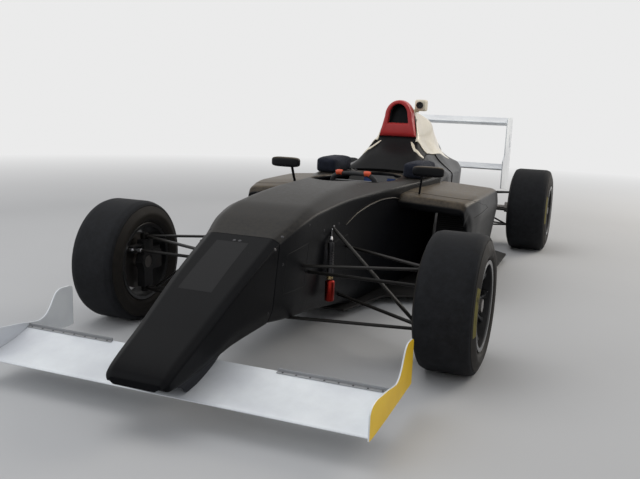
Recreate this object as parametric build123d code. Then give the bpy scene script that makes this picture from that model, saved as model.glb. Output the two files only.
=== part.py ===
from build123d import *
import os
from collections import namedtuple
from math import atan2, degrees, radians, tan

# Open wheel racing car, millimetres. +X is the car's left, +Y points to the rear, +Z is up.
# The origin is under the middle of the car, on the ground. The nose points to -Y.

# Overall layout
wheelbase = 2750.0
nose_overhang = 1000.0
rear_overhang = 610.0
front_track = 1500.0
rear_track = 1457.0
ride_height = 40.0

# Tyres
front_tyre_diameter = 540.0
front_tyre_width = 244.0
rear_tyre_diameter = 575.0
rear_tyre_width = 281.0
shoulder_width = 22.0
shoulder_drop = 20.0
bulge_height = 36.0

# Wheels
rim_diameter = 330.0
front_rim_width = 203.0
rear_rim_width = 254.0
rim_wall = 7.0
rim_lip_height = 9.0
rim_lip_width = 12.0
spoke_count = 10
spoke_thickness = 16.0
spoke_set_back = 12.0
boss_radius = 62.0
boss_set_back = 24.0
wheel_offset = 8.0

# Hubs and brakes
stub_axle_radius = 28.0
spindle_radius = 19.0
flange_radius = 58.0
nut_radius = 27.0
nut_height = 22.0
disc_thickness = 22.0
disc_to_rim = 33.0
disc_to_upright = 24.0
shaft_length = 476.0
shaft_radius = 14.0
joint_boot_radius = 37.0
joint_boot_length = 55.0

# Uprights
front_joint_offset = 90.0
rear_joint_offset = 98.5
low_joint_to_rim = 33.0
high_joint_to_rim = 43.0
upright_inner = 22.0
upright_outer = 16.0
upright_half_depth = 32.0
bearing_boss_radius = 48.0
pin_radius = 8.0

# Suspension arms
arm_chord = 26.0
arm_thickness = 12.0
eye_radius = 18.0
eye_height = 26.0
toe_link_height = 255.0

# Tub and cockpit
tub_front_overhang = 330.0
engine_bay_length = 1300.0
tub_wall = 22.0
cockpit_length = 880.0
cockpit_rear_wall = 30.0
dash_set_back = 6.0
dash_thickness = 16.0
seat_half_width = 165.0

# Body panels and floor
panel_wall = 8.0
floor_thickness = 10.0
plank_thickness = 10.0
plank_half_width = 150.0
floor_half_width = 655.0
diffuser_half_width = 400.0
diffuser_length = 270.0
diffuser_rise = 135.0
fin_thickness = 6.0

# Wings
front_wing_half_span = 694.0
front_wing_chord = 205.0
front_wing_height = 92.0
rear_wing_half_span = 472.0
rear_wing_top = 925.0
endplate_thickness = 8.0
gurney_height = 20.0
gurney_inner_x = 320.0

# Airbox
airbox_set_back = 250.0
airbox_depth = 60.0
airbox_base = 803.0
intake_rise = 85.0
intake_depth = 140.0

# Steering
steering_arm_length = 90.0
rod_below_joint = 47.0
track_rod_radius = 6.0
rod_eye_radius = 13.0
rod_eye_height = 14.0
fork_plate = 8.0
rack_radius = 12.0
rack_half_length = 120.0
column_radius = 12.0
steering_wheel_width = 270.0
steering_wheel_height = 170.0
steering_wheel_reach = 360.0
steering_wheel_z = 565.0

# Gearbox, crash box and tow eye
gearbox_overhang = 190.0
tow_eye_radius = 18.0
tow_eye_set_back = 210.0
tow_eye_height = 180.0
tow_lug_thickness = 12.0

# Fits
running_gap = 0.05
joint_gap = 0.5
free_gap = 5.0
seat_gap = 0.3

# Places that follow from the sizes above
nose_y = -(nose_overhang + wheelbase + rear_overhang) / 2
front_axle_y = nose_y + nose_overhang
rear_axle_y = front_axle_y + wheelbase
tail_y = rear_axle_y + rear_overhang
tub_front_y = front_axle_y - tub_front_overhang
tub_rear_y = rear_axle_y - engine_bay_length
tub_length = tub_rear_y - tub_front_y
cockpit_rear_y = tub_rear_y - cockpit_rear_wall
cockpit_front_y = cockpit_rear_y - cockpit_length
floor_top = ride_height + floor_thickness
airbox_y = tub_rear_y + airbox_set_back
pod_front_y = cockpit_front_y + 350
pod_rear_y = rear_axle_y - 400
case_rear_y = rear_axle_y + gearbox_overhang
rim_inner_radius = rim_diameter / 2 - rim_wall
disc_radius = rim_inner_radius - disc_to_rim
carrier_reach = rim_inner_radius - 58

# One row for each axle, on the car's left.
Corner = namedtuple("Corner", "name wheel_x y z tyre_width tyre_diameter rim_width joint_x low high")


def corner(name, track, y, tyre_diameter, tyre_width, rim_width, joint_offset):
    """The places of one axle's wheel centre and upright joints."""
    z = tyre_diameter / 2
    low = z - rim_inner_radius + low_joint_to_rim
    high = z + rim_inner_radius - high_joint_to_rim
    return Corner(name, track / 2, y, z, tyre_width, tyre_diameter, rim_width,
                  track / 2 - joint_offset, low, high)


front = corner("front", front_track, front_axle_y, front_tyre_diameter, front_tyre_width,
               front_rim_width, front_joint_offset)
rear = corner("rear", rear_track, rear_axle_y, rear_tyre_diameter, rear_tyre_width,
              rear_rim_width, rear_joint_offset)
track_rod_height = front.high - rod_below_joint
rack_y = front_axle_y - steering_arm_length


def save(name, *shapes):
    """Write the solids of one node."""
    solids = [solid for shape in shapes for solid in shape.solids()]
    export_step(solids[0] if len(solids) == 1 else Compound(solids), f"parts/{name}.step")


def other_side(shape):
    """The same shape on the car's right."""
    return shape.mirror(Plane.YZ)


def largest(shape):
    """The biggest solid of a shape, once a cut has left crumbs."""
    return max(shape.solids(), key=lambda solid: solid.volume)


def outline(points):
    """A flat face through points in space, in order."""
    return Face(Wire.make_polygon([Vector(*point) for point in points], close=True))


def section(y, half):
    """The corners of a section at y from its left half, as (x, z) points, mirrored to the right."""
    return [(x, y, z) for x, z in half] + [(-x, y, z) for x, z in reversed(half)]


def skin(sections):
    """A closed hull of flat panels through sections with the same number of corners.

    A twisted panel is split along one diagonal on the left and along the mirrored one on the right.
    """
    faces = [outline(sections[0]), outline(sections[-1])]
    count = len(sections[0])
    for near, far in zip(sections, sections[1:]):
        for i in range(count):
            j = (i + 1) % count
            if 2 * i < count:
                faces += [outline((near[i], far[i], near[j])), outline((near[j], far[i], far[j]))]
            else:
                faces += [outline((near[i], far[i], far[j])), outline((near[i], far[j], near[j]))]
    return Solid(Shell(faces)).clean()


def rod(start, end, radius):
    """A round bar from start to end."""
    run = Vector(*end) - Vector(*start)
    bar = Cylinder(radius, run.length, align=(Align.CENTER, Align.CENTER, Align.MIN))
    return Plane(origin=start, z_dir=run) * bar


def across(x0, x1, radius, y, z):
    """A round bar along X."""
    return rod((x0, y, z), (x1, y, z), radius)


def prism_across(x0, x1, radius, sides, y, z):
    """A many-sided bar along X."""
    return Plane(origin=(x0, y, z), z_dir=(1, 0, 0)) * extrude(RegularPolygon(radius, sides), amount=x1 - x0)


def blade(start, end):
    """A streamlined arm tube from start to end, its chord along the car."""
    run = Vector(*end) - Vector(*start)
    tip = arm_chord / 2
    cheek = arm_chord / 6
    half = arm_thickness / 2
    profile = Polyline((-tip, 0), (-cheek, half), (cheek, half), (tip, 0), (cheek, -half), (-cheek, -half),
                       close=True)
    return Plane(origin=start, x_dir=(0, 1, 0), z_dir=run) * extrude(make_face(profile), amount=run.length)


def block(x, y, z):
    """A box from three pairs of limits."""
    return Pos((x[0] + x[1]) / 2, (y[0] + y[1]) / 2, (z[0] + z[1]) / 2) * Box(
        abs(x[1] - x[0]), abs(y[1] - y[0]), abs(z[1] - z[0]))


def side_plate(points, x0, x1):
    """A plate between two X planes, cut to an outline of (y, z) points."""
    return extrude(outline([(x0, y, z) for y, z in points]), amount=x1 - x0, dir=(1, 0, 0))


def flat_plate(points, z0, z1):
    """A plate between two Z planes, cut to an outline of (x, y) points."""
    return extrude(outline([(x, y, z0) for x, y in points]), amount=z1 - z0, dir=(0, 0, 1))


def revolved(points):
    """A ring about the X axis from the outline of its section, as (x, radius) points."""
    return revolve(make_face(Polyline(*points, close=True)), axis=Axis.X)


# Hull sections of the nose and tub. "at" is the share of the piece's length from its front.
# The sides keep the same lean in every section, so each panel between two sections is flat.
keel_lean = 0.40
flank_lean = 0.09
shoulder_rise = 0.50
NOSE_SECTIONS = (
    # at, floor z, keel z, crease half width, crease z, top z
    (0.000, 152, 158, 100, 166, 172),
    (0.030, 148, 156, 114, 180, 188),
    (0.300, 150, 180, 126, 268, 282),
    (0.660, 172, 230, 143, 390, 404),
    (1.000, 178, 235, 157, 490, 506),
)
TUB_SECTIONS = (
    (0.000, 178, 235, 157, 490, 506),
    (0.085, 162, 225, 188, 545, 563),
    (0.160, 150, 215, 200, 571, 596),
    (0.370, 92, 180, 212, 589, 628),
    (0.520, 50, 150, 228, 588, 634),
    (0.720, 50, 150, 275, 592, 612),
    (0.860, 50, 150, 325, 598, 606),
    (1.000, 50, 150, 346, 600, 606),
)


def hull_half(row, inset):
    """The left half of a hull section, drawn in by inset."""
    _, z_floor, z_keel, crease, z_crease, z_top = row
    keel = crease - (z_crease - z_keel) * flank_lean
    floor = keel - (z_keel - z_floor) * keel_lean
    top = crease - (z_top - z_crease) / shoulder_rise
    return ((floor - inset, z_floor + inset), (keel - inset, z_keel + inset / 2),
            (crease - inset, z_crease - inset / 2), (top - inset / 2, z_top - inset))


def hull(rows, y_front, length, inset=0.0, end_inset=0.0):
    """A hull through its sections."""
    run = length - 2 * end_inset
    return skin([section(y_front + end_inset + row[0] * run, hull_half(row, inset)) for row in rows])


# The cockpit's opening: share of its length from the front, and half width.
COCKPIT_OUTLINE = ((0.0, 110), (0.10, 165), (0.30, 195), (0.55, 205), (0.66, 178), (1.0, 178))


def build_tub():
    """The tub, hollow from the pedals to the seat back. Returns its outer form and its space."""
    outer = hull(TUB_SECTIONS, tub_front_y, tub_length)
    space = hull(TUB_SECTIONS, tub_front_y, tub_length, tub_wall, tub_wall)
    left = [(half, cockpit_front_y + at * cockpit_length) for at, half in COCKPIT_OUTLINE]
    right = [(-x, y) for x, y in reversed(left)]
    opening = flat_plate(left + right, steering_wheel_z - 145, steering_wheel_z + 235)
    rod_hole = across(-400, 400, track_rod_radius + free_gap + 3, rack_y, track_rod_height)
    save("monocoque", largest(outer - space - opening - rod_hole))
    return outer, space


def wing(half_span, nose_edge, tail_edge, sag, thickness):
    """A wing plane along X between two arcs. Its edges are (y, z) and sag lowers its middle."""
    (y0, z0), (y1, z1) = nose_edge, tail_edge
    x = -half_span
    y_mid = y0 + (y1 - y0) * 0.38
    z_mid = (z0 + z1) / 2 - sag
    tail_low = (x, y1, z1 - 4)
    nose_low = (x, y0, z0 - 8)
    edges = [
        ThreePointArc((x, y0, z0), (x, y_mid, z_mid + thickness / 2), (x, y1, z1)),
        Line((x, y1, z1), tail_low),
        ThreePointArc(tail_low, (x, y_mid, z_mid - thickness / 2), nose_low),
        ThreePointArc(nose_low, (x, y0 - 4, z0 - 4), (x, y0, z0)),
    ]
    return extrude(Face(Wire(edges)), amount=2 * half_span, dir=(1, 0, 0))


wing_nose_y = front_axle_y - 881
wing_tail_y = wing_nose_y + front_wing_chord
wing_tail_z = front_wing_height + 48


def build_front_wing():
    """The plane, its end plates and its tail strips."""
    plane = wing(front_wing_half_span, (wing_nose_y, front_wing_height), (wing_tail_y, wing_tail_z), 14, 22)
    save("front_wing", plane)
    y0 = wing_nose_y - 8
    y1 = front_axle_y - 436
    middle = (y0 + y1) / 2
    x0 = front_wing_half_span
    edges = [
        Line((x0, y1, front_wing_height - 2), (x0, y0, front_wing_height - 16)),
        Line((x0, y0, front_wing_height - 16), (x0, y0 + 4, 198)),
        ThreePointArc((x0, y0 + 4, 198), (x0, (y0 + middle) / 2, 190), (x0, middle, 206)),
        ThreePointArc((x0, middle, 206), (x0, (y1 + middle) / 2, 236), (x0, y1 - 18, 262)),
        Line((x0, y1 - 18, 262), (x0, y1, front_wing_height - 2)),
    ]
    plate = extrude(Face(Wire(edges)), amount=endplate_thickness, dir=(1, 0, 0))
    save("front_wing_endplates", plate, other_side(plate))
    strip = block((gurney_inner_x, front_wing_half_span), (wing_tail_y - 3, wing_tail_y),
                  (wing_tail_z, wing_tail_z + gurney_height))
    save("front_wing_gurneys", strip, other_side(strip))
    return plane


def build_nose(wing_plane):
    """The nose and the plates between it and the front wing."""
    nose = hull(NOSE_SECTIONS, nose_y, tub_front_y - nose_y)
    save("nose_cone", nose)
    y0 = wing_nose_y + 20
    y1 = wing_tail_y + 60
    points = ((y0, wing_tail_z - 44), (y1 - 90, wing_tail_z - 30),
              (y1, wing_tail_z + 60), (y0, wing_tail_z + 60))
    plate = largest(side_plate(points, 84, 100) - nose - wing_plane)
    save("front_wing_pylons", plate, other_side(plate))


def eight_sided(width, height, corner):
    """A rectangle with its corners cut off."""
    return chamfer(Rectangle(width, height).vertices(), corner)


# The steering column runs from the steering wheel's hub down to the rack.
column_top = (0, cockpit_front_y + steering_wheel_reach, steering_wheel_z)
column_foot = (0, rack_y + 10, track_rod_height + 1)


def column_run(radius, start, end):
    """A bar on the column's line between two shares of its length."""
    top, foot = Vector(*column_top), Vector(*column_foot)
    return rod(tuple(top + (foot - top) * start), tuple(top + (foot - top) * end), radius)


def build_steering(tub_space):
    """Rack and track rods, the rack's housing, the column and the steering wheel."""
    y, z = rack_y, track_rod_height
    eye = Pos(front.joint_x, y, z) * Cylinder(rod_eye_radius, rod_eye_height)
    track_rod = across(rack_half_length, front.joint_x, track_rod_radius, y, z) + eye
    rack = across(-rack_half_length, rack_half_length, rack_radius, y, z)
    save("steering_rack", rack + track_rod + other_side(track_rod))

    sleeve = across(-78, 78, rack_radius + 9, y, z)
    beam = block((-300, 300), (y - 36, y - 17), (z - 20, z + 20)) & tub_space
    housing = beam + sleeve + column_run(column_radius + 8, 0.955, 1.0)
    housing -= column_run(column_radius + running_gap, 0.9, 0.984)
    housing -= across(-400, 400, rack_radius + seat_gap, y, z)
    save("rack_housing", housing)
    save("steering_column", column_run(column_radius, 0.0, 0.983))

    lean = degrees(atan2(column_top[2] - column_foot[2], column_top[1] - column_foot[1]))
    grip = eight_sided(steering_wheel_width, steering_wheel_height, 44)
    window = eight_sided(steering_wheel_width - 56, steering_wheel_height - 56, 28)
    rim = extrude(grip - window, amount=11, both=True)
    spider = extrude(eight_sided(150, 96, 14), amount=9, both=True)
    bars = extrude(Rectangle(steering_wheel_width - 30, 40), amount=6, both=True)
    hub_length = 26
    hub = extrude(RegularPolygon(30, 8), amount=-hub_length)
    place = Plane(origin=column_top, x_dir=(1, 0, 0), z_dir=(0, 1, tan(radians(lean))))
    save("steering_wheel", place * Pos(0, 0, hub_length) * (rim + spider + bars + hub))


# Inner ends of the suspension arms, from the axle: x, y and z.
FRONT_UPPER = ((150, -150, 102), (150, 330, 106))
FRONT_LOWER = ((110, -170, -105), (110, 345, -120))
REAR_UPPER = ((60, -220, 84), (60, 120, 78))
REAR_LOWER = ((60, -230, -127), (60, 130, -120))


def wishbone(at, joint_z, inner_ends, body):
    """Two arms that meet in an eye round the upright's pin, ended at the body's side."""
    joint = (at.joint_x, at.y, joint_z)
    arms = Pos(*joint) * extrude(RegularPolygon(eye_radius, 12), amount=eye_height / 2, both=True)
    for x, y, z in inner_ends:
        arms += blade(joint, (x, at.y + y, at.z + z))
    arms -= Pos(*joint) * Cylinder(pin_radius + running_gap, 3 * eye_height)
    return largest(arms - body)


def build_front_suspension(tub_outer):
    """Wishbones, pushrods and the dampers with their cans."""
    upper = wishbone(front, front.high, FRONT_UPPER, tub_outer)
    lower = wishbone(front, front.low, FRONT_LOWER, tub_outer)
    save("front_wishbones", upper, lower, other_side(upper), other_side(lower))
    pushrod = blade((front.joint_x - 60, front.y + 6, front.low + 14), (180, front.y + 118, 500))
    pushrod = largest(pushrod - lower - tub_outer)
    save("front_pushrods", pushrod, other_side(pushrod))

    y = front.y + 52
    can = Pos(214, y, 236) * Cylinder(20, 90)
    damper = Pos(212, y, 360) * Cylinder(14, 158)
    bracket = block((150, 214), (y - 6, y + 6), (300, 420))
    damper = largest(can + damper + bracket - tub_outer)
    save("front_dampers", damper, other_side(damper))


def build_upright(at):
    """An upright on the car's left: web, bearing bore, joint pins and brake caliper."""
    inner = at.joint_x - upright_inner
    outer = at.joint_x + upright_outer
    web = block((inner, outer), (at.y - upright_half_depth, at.y + upright_half_depth),
                (at.low + eye_height / 2 + joint_gap, at.high - eye_height / 2 - joint_gap))
    web += prism_across(inner, outer, bearing_boss_radius, 8, at.y, at.z)
    pin_length = at.high - at.low + eye_height + 6
    web += Pos(at.joint_x, at.y, (at.low + at.high) / 2) * Cylinder(pin_radius, pin_length)
    disc_in = outer + disc_to_upright
    disc_out = disc_in + disc_thickness
    caliper = block((outer - 12, disc_out + 24),
                    (at.y + flange_radius + free_gap, at.y + rim_inner_radius - 30), (at.z - 52, at.z + 52))
    caliper -= across(disc_in - free_gap, disc_out + free_gap, disc_radius + free_gap, at.y, at.z)
    carrier = block((inner, outer), (at.y, at.y + carrier_reach), (at.z - 40, at.z + 40))
    web += carrier + caliper
    if at.name == "front":
        web += steering_fork(at)
    return web - across(inner - 60, disc_out + 80, stub_axle_radius + running_gap, at.y, at.z)


def steering_fork(at):
    """The steering arm: two plates over and under the track rod's eye, joined at the upright."""
    gap = rod_eye_height / 2 + joint_gap
    z = track_rod_height
    x = (at.joint_x - rod_eye_radius - 2, at.joint_x + rod_eye_radius + 2)
    root = at.y - upright_half_depth + 12
    fork = block(x, (root - 20, root), (z - gap - fork_plate, z + gap + fork_plate))
    for z0, z1 in ((z + gap, z + gap + fork_plate), (z - gap - fork_plate, z - gap)):
        fork += block(x, (rack_y - rod_eye_radius - 2, root), (z0, z1))
    return fork


def build_hub(at):
    """Stub axle, disc, drive flange, six-sided spindle and nut on the car's left."""
    inner = at.joint_x - upright_inner + 2
    disc_in = at.joint_x + upright_outer + disc_to_upright
    disc_out = disc_in + disc_thickness
    face = at.wheel_x + wheel_offset
    nut_seat = at.wheel_x + at.rim_width / 2 - boss_set_back
    hub = across(inner, disc_in, stub_axle_radius, at.y, at.z)
    hub += across(disc_in, disc_out, disc_radius, at.y, at.z)
    hub += prism_across(disc_out, face, flange_radius, 8, at.y, at.z)
    hub += prism_across(face, nut_seat, spindle_radius, 6, at.y, at.z)
    return hub + prism_across(nut_seat, nut_seat + nut_height, nut_radius, 6, at.y, at.z)


def build_shaft(at):
    """A driveshaft with a boot at each end, from the gearbox's side to the stub axle."""
    outer = at.joint_x - upright_inner + 2
    inner = outer - shaft_length
    shaft = across(inner, outer, shaft_radius, at.y, at.z)
    for x in (inner, outer - joint_boot_length - 6):
        shaft += prism_across(x, x + joint_boot_length, joint_boot_radius, 12, at.y, at.z)
    return shaft


def build_tyre(at):
    """A slick tyre: flat tread, bevelled shoulders and walls that draw in to the beads."""
    radius = at.tyre_diameter / 2
    half = at.tyre_width / 2
    bead = rim_diameter / 2 + seat_gap
    bead_half = at.rim_width / 2 - rim_lip_width - seat_gap
    points = [(half - shoulder_width, radius), (half, radius - shoulder_drop),
              (half, bead + bulge_height), (bead_half, bead)]
    ring = revolved(points + [(-x, r) for x, r in reversed(points)])
    return Pos(at.wheel_x, at.y, at.z) * ring


def build_rim(at):
    """A spoked wheel on the car's left, its face outwards."""
    half = at.rim_width / 2
    seat = rim_diameter / 2
    points = [(half, rim_inner_radius), (half, seat + rim_lip_height), (half - rim_lip_width, seat)]
    barrel = revolved(points + [(-x, r) for x, r in reversed(points)])
    face = half - boss_set_back
    wheel = barrel + prism_across(wheel_offset, face, boss_radius, spoke_count, 0, 0)
    root = boss_radius - 8
    spoke = make_face(Polyline((face - 38, root), (half - spoke_set_back - 22, rim_inner_radius + 2),
                               (half - spoke_set_back, rim_inner_radius + 2), (face - 2, root), close=True))
    spoke = extrude(spoke, amount=spoke_thickness / 2, both=True)
    for turn in range(spoke_count):
        wheel += Rot(360 * turn / spoke_count, 0, 0) * spoke
    wheel -= prism_across(-half, half, spindle_radius + seat_gap, 6, 0, 0)
    return Pos(at.wheel_x, at.y, at.z) * wheel


def build_wheels():
    """Wheels, tyres, hubs and uprights at the four corners."""
    for at in (front, rear):
        hub = build_hub(at) if at is front else build_hub(at) + build_shaft(at)
        for piece, shape in (("tyre", build_tyre(at)), ("wheel", build_rim(at)), ("hub_disc", hub)):
            save(f"{piece}_{at.name}_left", shape)
            save(f"{piece}_{at.name}_right", other_side(shape))
    upright = build_upright(front)
    save("front_upright_left", upright)
    save("front_upright_right", other_side(upright))
    upright = build_upright(rear)
    save("rear_uprights", upright, other_side(upright))


# Engine cover and spine sections. "at" is the share of the cover's length from its front.
cover_front_y = tub_rear_y
cover_length = rear_axle_y + 200 - cover_front_y
airbox_at = airbox_set_back / cover_length
COVER_SECTIONS = (
    # at, base half width, base z, middle half width, middle z, shoulder half width, its z, top z
    (0.0, 340, 500, 346, 560, 250, 606, 620),
    (airbox_at, 329, 500, 335, 600, 135, 780, 806),
    (airbox_at + 0.05, 318, 500, 324, 592, 132, 782, 812),
    (0.49, 270, 470, 276, 560, 128, 735, 770),
    (0.73, 232, 440, 238, 535, 110, 645, 668),
    (0.887, 195, 432, 200, 540, 96, 590, 605),
    (1.0, 150, 425, 154, 490, 70, 535, 548),
)
SPINE_SECTIONS = (
    (airbox_at + airbox_depth / cover_length, 112, 760, 90, 915, 68, 978, 1018),
    (0.49, 104, 700, 94, 850, 84, 888, 915),
    (0.587, 92, 660, 86, 790, 72, 830, 853),
    (0.727, 78, 620, 72, 705, 58, 748, 768),
    (0.873, 60, 560, 56, 630, 46, 668, 684),
)
crown_rise = 1.1


def ridge(rows, inset=0.0, drop=0.0):
    """A hull with a flat base, two sides and a bevelled crown."""
    sections = []
    for at, base, z_base, middle, z_middle, shoulder, z_shoulder, z_top in rows:
        crown = shoulder - (z_top - z_shoulder) / crown_rise
        half = ((base - inset, z_base - drop), (middle - inset, z_middle - inset / 2),
                (shoulder - inset, z_shoulder - inset / 2), (crown - inset / 2, z_top - inset))
        sections.append(section(cover_front_y + at * cover_length, half))
    return skin(sections)


def arched_bar(base, half_base, half_shoulder, shoulder, top, y0, y1):
    """A bar along Y with a flat base, two sides and a round top."""
    left, right = (half_shoulder, y0, shoulder), (-half_shoulder, y0, shoulder)
    edges = [Line((-half_base, y0, base), (half_base, y0, base)), Line((half_base, y0, base), left),
             ThreePointArc(left, (0, y0, top), right), Line(right, (-half_base, y0, base))]
    return extrude(Face(Wire(edges)), amount=y1 - y0, dir=(0, 1, 0))


def build_cover(tub_outer):
    """Engine cover, the airbox frame at its front and the bulkhead below that frame."""
    outer = ridge(COVER_SECTIONS)
    space = ridge(COVER_SECTIONS, panel_wall, 40)
    frame_rear = airbox_y + airbox_depth
    front_wall = block((-400, 400), (cover_front_y - 10, airbox_y + 20), (400, 900))
    frame = arched_bar(airbox_base, 118, 88, 925, 1026, airbox_y, frame_rear)
    intake = arched_bar(airbox_base + intake_rise, 62, 60, 950, 1002, airbox_y - 1, airbox_y + intake_depth)
    save("airbox", largest(frame - intake - outer))
    cover = outer + ridge(SPINE_SECTIONS)
    cover -= space & block((-500, 500), (frame_rear, tail_y), (0, 770))
    cover = largest(cover - front_wall - frame - intake)
    save("engine_cover", cover)
    save("rear_bulkhead", largest((outer & front_wall) - frame - tub_outer))
    return outer, cover


# Sidepod sections on the car's left: share of its length, flank x, flank z and shoulder z.
# As on the hull, every side keeps its lean.
undercut = 0.14
tumblehome = 0.12
pod_top_slope = 0.07
sidepod_inner_x = 212.0
# The inlet's upper edge has this height at inlet_top_x and rises from there to the tub.
inlet_top = 433.0
inlet_top_x = 600.0
inlet_slope = 0.20
SIDEPOD_SECTIONS = (
    (0.000, 590, 420, 500),
    (0.030, 615, 424, 530),
    (0.160, 648, 440, 548),
    (0.425, 655, 450, 548),
    (0.680, 612, 430, 476),
    (1.000, 370, 390, 425),
)


def sidepod_section(row, inset=0.0, stretch=0.0):
    """The corners of one section of the left sidepod."""
    at, flank_x, flank_z, shoulder_z = row
    y = pod_front_y + at * (pod_rear_y - pod_front_y) + (at - 0.5) * stretch
    floor_x = flank_x - (flank_z - floor_top) * undercut
    shoulder_x = flank_x - (shoulder_z - flank_z) * tumblehome
    inner_z = shoulder_z + (shoulder_x - sidepod_inner_x) * pod_top_slope
    return [
        (sidepod_inner_x + inset, y, floor_top + inset),
        (floor_x - inset, y, floor_top + inset),
        (flank_x - inset, y, flank_z),
        (shoulder_x - inset, y, shoulder_z - inset),
        (sidepod_inner_x + inset, y, inner_z - inset),
    ]


def build_sidepods(tub_outer, cover_outer):
    """Both sidepods, hollow from the inlet to the tail, with their radiators."""
    outer = skin([sidepod_section(row) for row in SIDEPOD_SECTIONS])
    space = skin([sidepod_section(row, panel_wall, 12) for row in SIDEPOD_SECTIONS])
    y = pod_front_y
    rake = side_plate(((y - 10, 20), (y - 10, 500), (y + 8, 470), (y + 60, 420), (y + 150, 20)), 100, 800)
    lip_edge = [(x, y - 20, inlet_top - (x - inlet_top_x) * inlet_slope) for x in (200, 800)]
    lip = extrude(outline(lip_edge + [(800, y - 20, 700), (200, y - 20, 700)]), amount=420, dir=(0, 1, 0))
    pod = largest(outer - (space - lip) - rake - tub_outer - cover_outer)
    save("sidepod_left", pod)
    save("sidepod_right", other_side(pod))
    low = floor_top + panel_wall + seat_gap
    y = tub_rear_y - 190
    core = side_plate(((y, low), (y + 60, low), (y + 170, 430), (y + 110, 430)), 360, 560)
    save("radiators", core, other_side(core))
    return pod


def build_floor(tub_outer):
    """Flat floor with its plank, and the diffuser behind it."""
    front_y = front_axle_y + 420
    left = [
        (150, front_y), (240, front_y + 340), (floor_half_width - 60, pod_front_y + 60),
        (floor_half_width, pod_front_y + 160), (floor_half_width, rear_axle_y - 560),
        (diffuser_half_width + 30, rear_axle_y - 330), (diffuser_half_width, rear_axle_y + 60),
    ]
    floor = flat_plate(left + [(-x, y) for x, y in reversed(left)], ride_height, floor_top)
    plank = block((-plank_half_width, plank_half_width), (front_y + 40, rear_axle_y - 60),
                  (ride_height - plank_thickness, ride_height))
    save("floor", largest(floor + plank - tub_outer))
    y0 = rear_axle_y + 60
    y1 = y0 + diffuser_length
    roof_z = ride_height + diffuser_rise
    diffuser = side_plate(((y0, ride_height), (y1, roof_z), (y1, roof_z + 6), (y0, floor_top)),
                          -diffuser_half_width, diffuser_half_width)
    fin = side_plate(((y0, ride_height), (y1, ride_height + 30), (y1, roof_z + 3), (y0, ride_height + 4)), 0,
                     fin_thickness)
    for x in (-diffuser_half_width, -205, -73, 67, 199, diffuser_half_width - fin_thickness):
        diffuser += Pos(x, 0, 0) * fin
    save("diffuser", diffuser)


def box_loft(rows):
    """A casing through upright rectangles: y, half width, low z and high z."""
    return skin([section(y, ((x, z0), (x, z1))) for y, x, z0, z1 in rows])


def build_power():
    """Engine block, gearbox, exhaust, rear crash box with its tow eye, and the rear light."""
    engine_rear = rear_axle_y - 620
    engine = block((-200, 200), (tub_rear_y, engine_rear), (floor_top, 430))
    save("engine", engine)
    case = box_loft(((engine_rear, 160, floor_top + 10, 400), (rear_axle_y - 160, 120, 90, 385),
                     (case_rear_y, 90, 140, 372)))
    save("gearbox", case)
    box_rear = tail_y - 60
    box = box_loft(((case_rear_y, 82, 190, 350), (box_rear, 48, 240, 330)))
    y = case_rear_y + tow_eye_set_back
    half = tow_lug_thickness / 2
    lug = block((-half, half), (y - 34, y + 34), (tow_eye_height, 260))
    lug += across(-half, half, tow_eye_radius + 16, y, tow_eye_height)
    box = box + lug - across(-20, 20, tow_eye_radius, y, tow_eye_height)
    save("crash_box", box)
    save("rain_light", block((-38, 38), (box_rear, box_rear + 22), (250, 322)))
    pipe = rod((-176, engine_rear, 406), (-186, rear_axle_y - 270, 414), 21) - engine
    pipe -= rod((-182, rear_axle_y - 400, 410), (-186.5, rear_axle_y - 260, 414.5), 18)
    save("exhaust", largest(pipe - case))
    return case, box


def build_rear_wing(box, case):
    """Upper plane, lower beam, slotted end plates and the plates that carry the beam."""
    y1 = tail_y
    upper = wing(rear_wing_half_span, (y1 - 282, rear_wing_top - 33), (y1 - 18, rear_wing_top - 4), 26, 34)
    beam = wing(rear_wing_half_span, (y1 - 372, 548), (y1 - 180, 566), 12, 22)
    save("rear_wing_planes", upper, beam)
    x0 = rear_wing_half_span
    plate = side_plate(((y1 - 380, 392), (y1 - 20, 350), (y1, 372), (y1, rear_wing_top),
                        (y1 - 290, rear_wing_top), (y1 - 300, 640), (y1 - 380, 600)),
                       x0, x0 + endplate_thickness)
    for y in (y1 - 150, y1 - 116):
        slot = ((y, 790), (y + 12, 790), (y + 42, 690), (y + 30, 690))
        plate -= side_plate(slot, x0 - 5, x0 + endplate_thickness + 5)
    save("rear_wing_endplates", plate, other_side(plate))
    leg = side_plate(((y1 - 400, 300), (y1 - 300, 300), (y1 - 230, 556), (y1 - 340, 556)), 50, 58)
    leg = largest(leg - case - box - beam)
    save("rear_wing_pylons", leg, other_side(leg))


def build_rear_suspension(case, cover):
    """Wishbones, toe links and pushrods at the rear."""
    upper = wishbone(rear, rear.high, REAR_UPPER, case)
    lower = wishbone(rear, rear.low, REAR_LOWER, case)
    toe_start = (rear.joint_x - upright_inner - 2 * joint_gap, rear.y + carrier_reach - 14, toe_link_height)
    toe = largest(rod(toe_start, (60, rear.y + 150, toe_link_height - 5), 7) - case)
    save("rear_wishbones", upper, lower, toe, other_side(upper), other_side(lower), other_side(toe))
    pushrod = blade((rear.joint_x - 70, rear.y - 36, rear.low + 2), (80, rear.y - 110, 410))
    pushrod = largest(pushrod - case - lower - cover)
    save("rear_pushrods", pushrod, other_side(pushrod))


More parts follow.
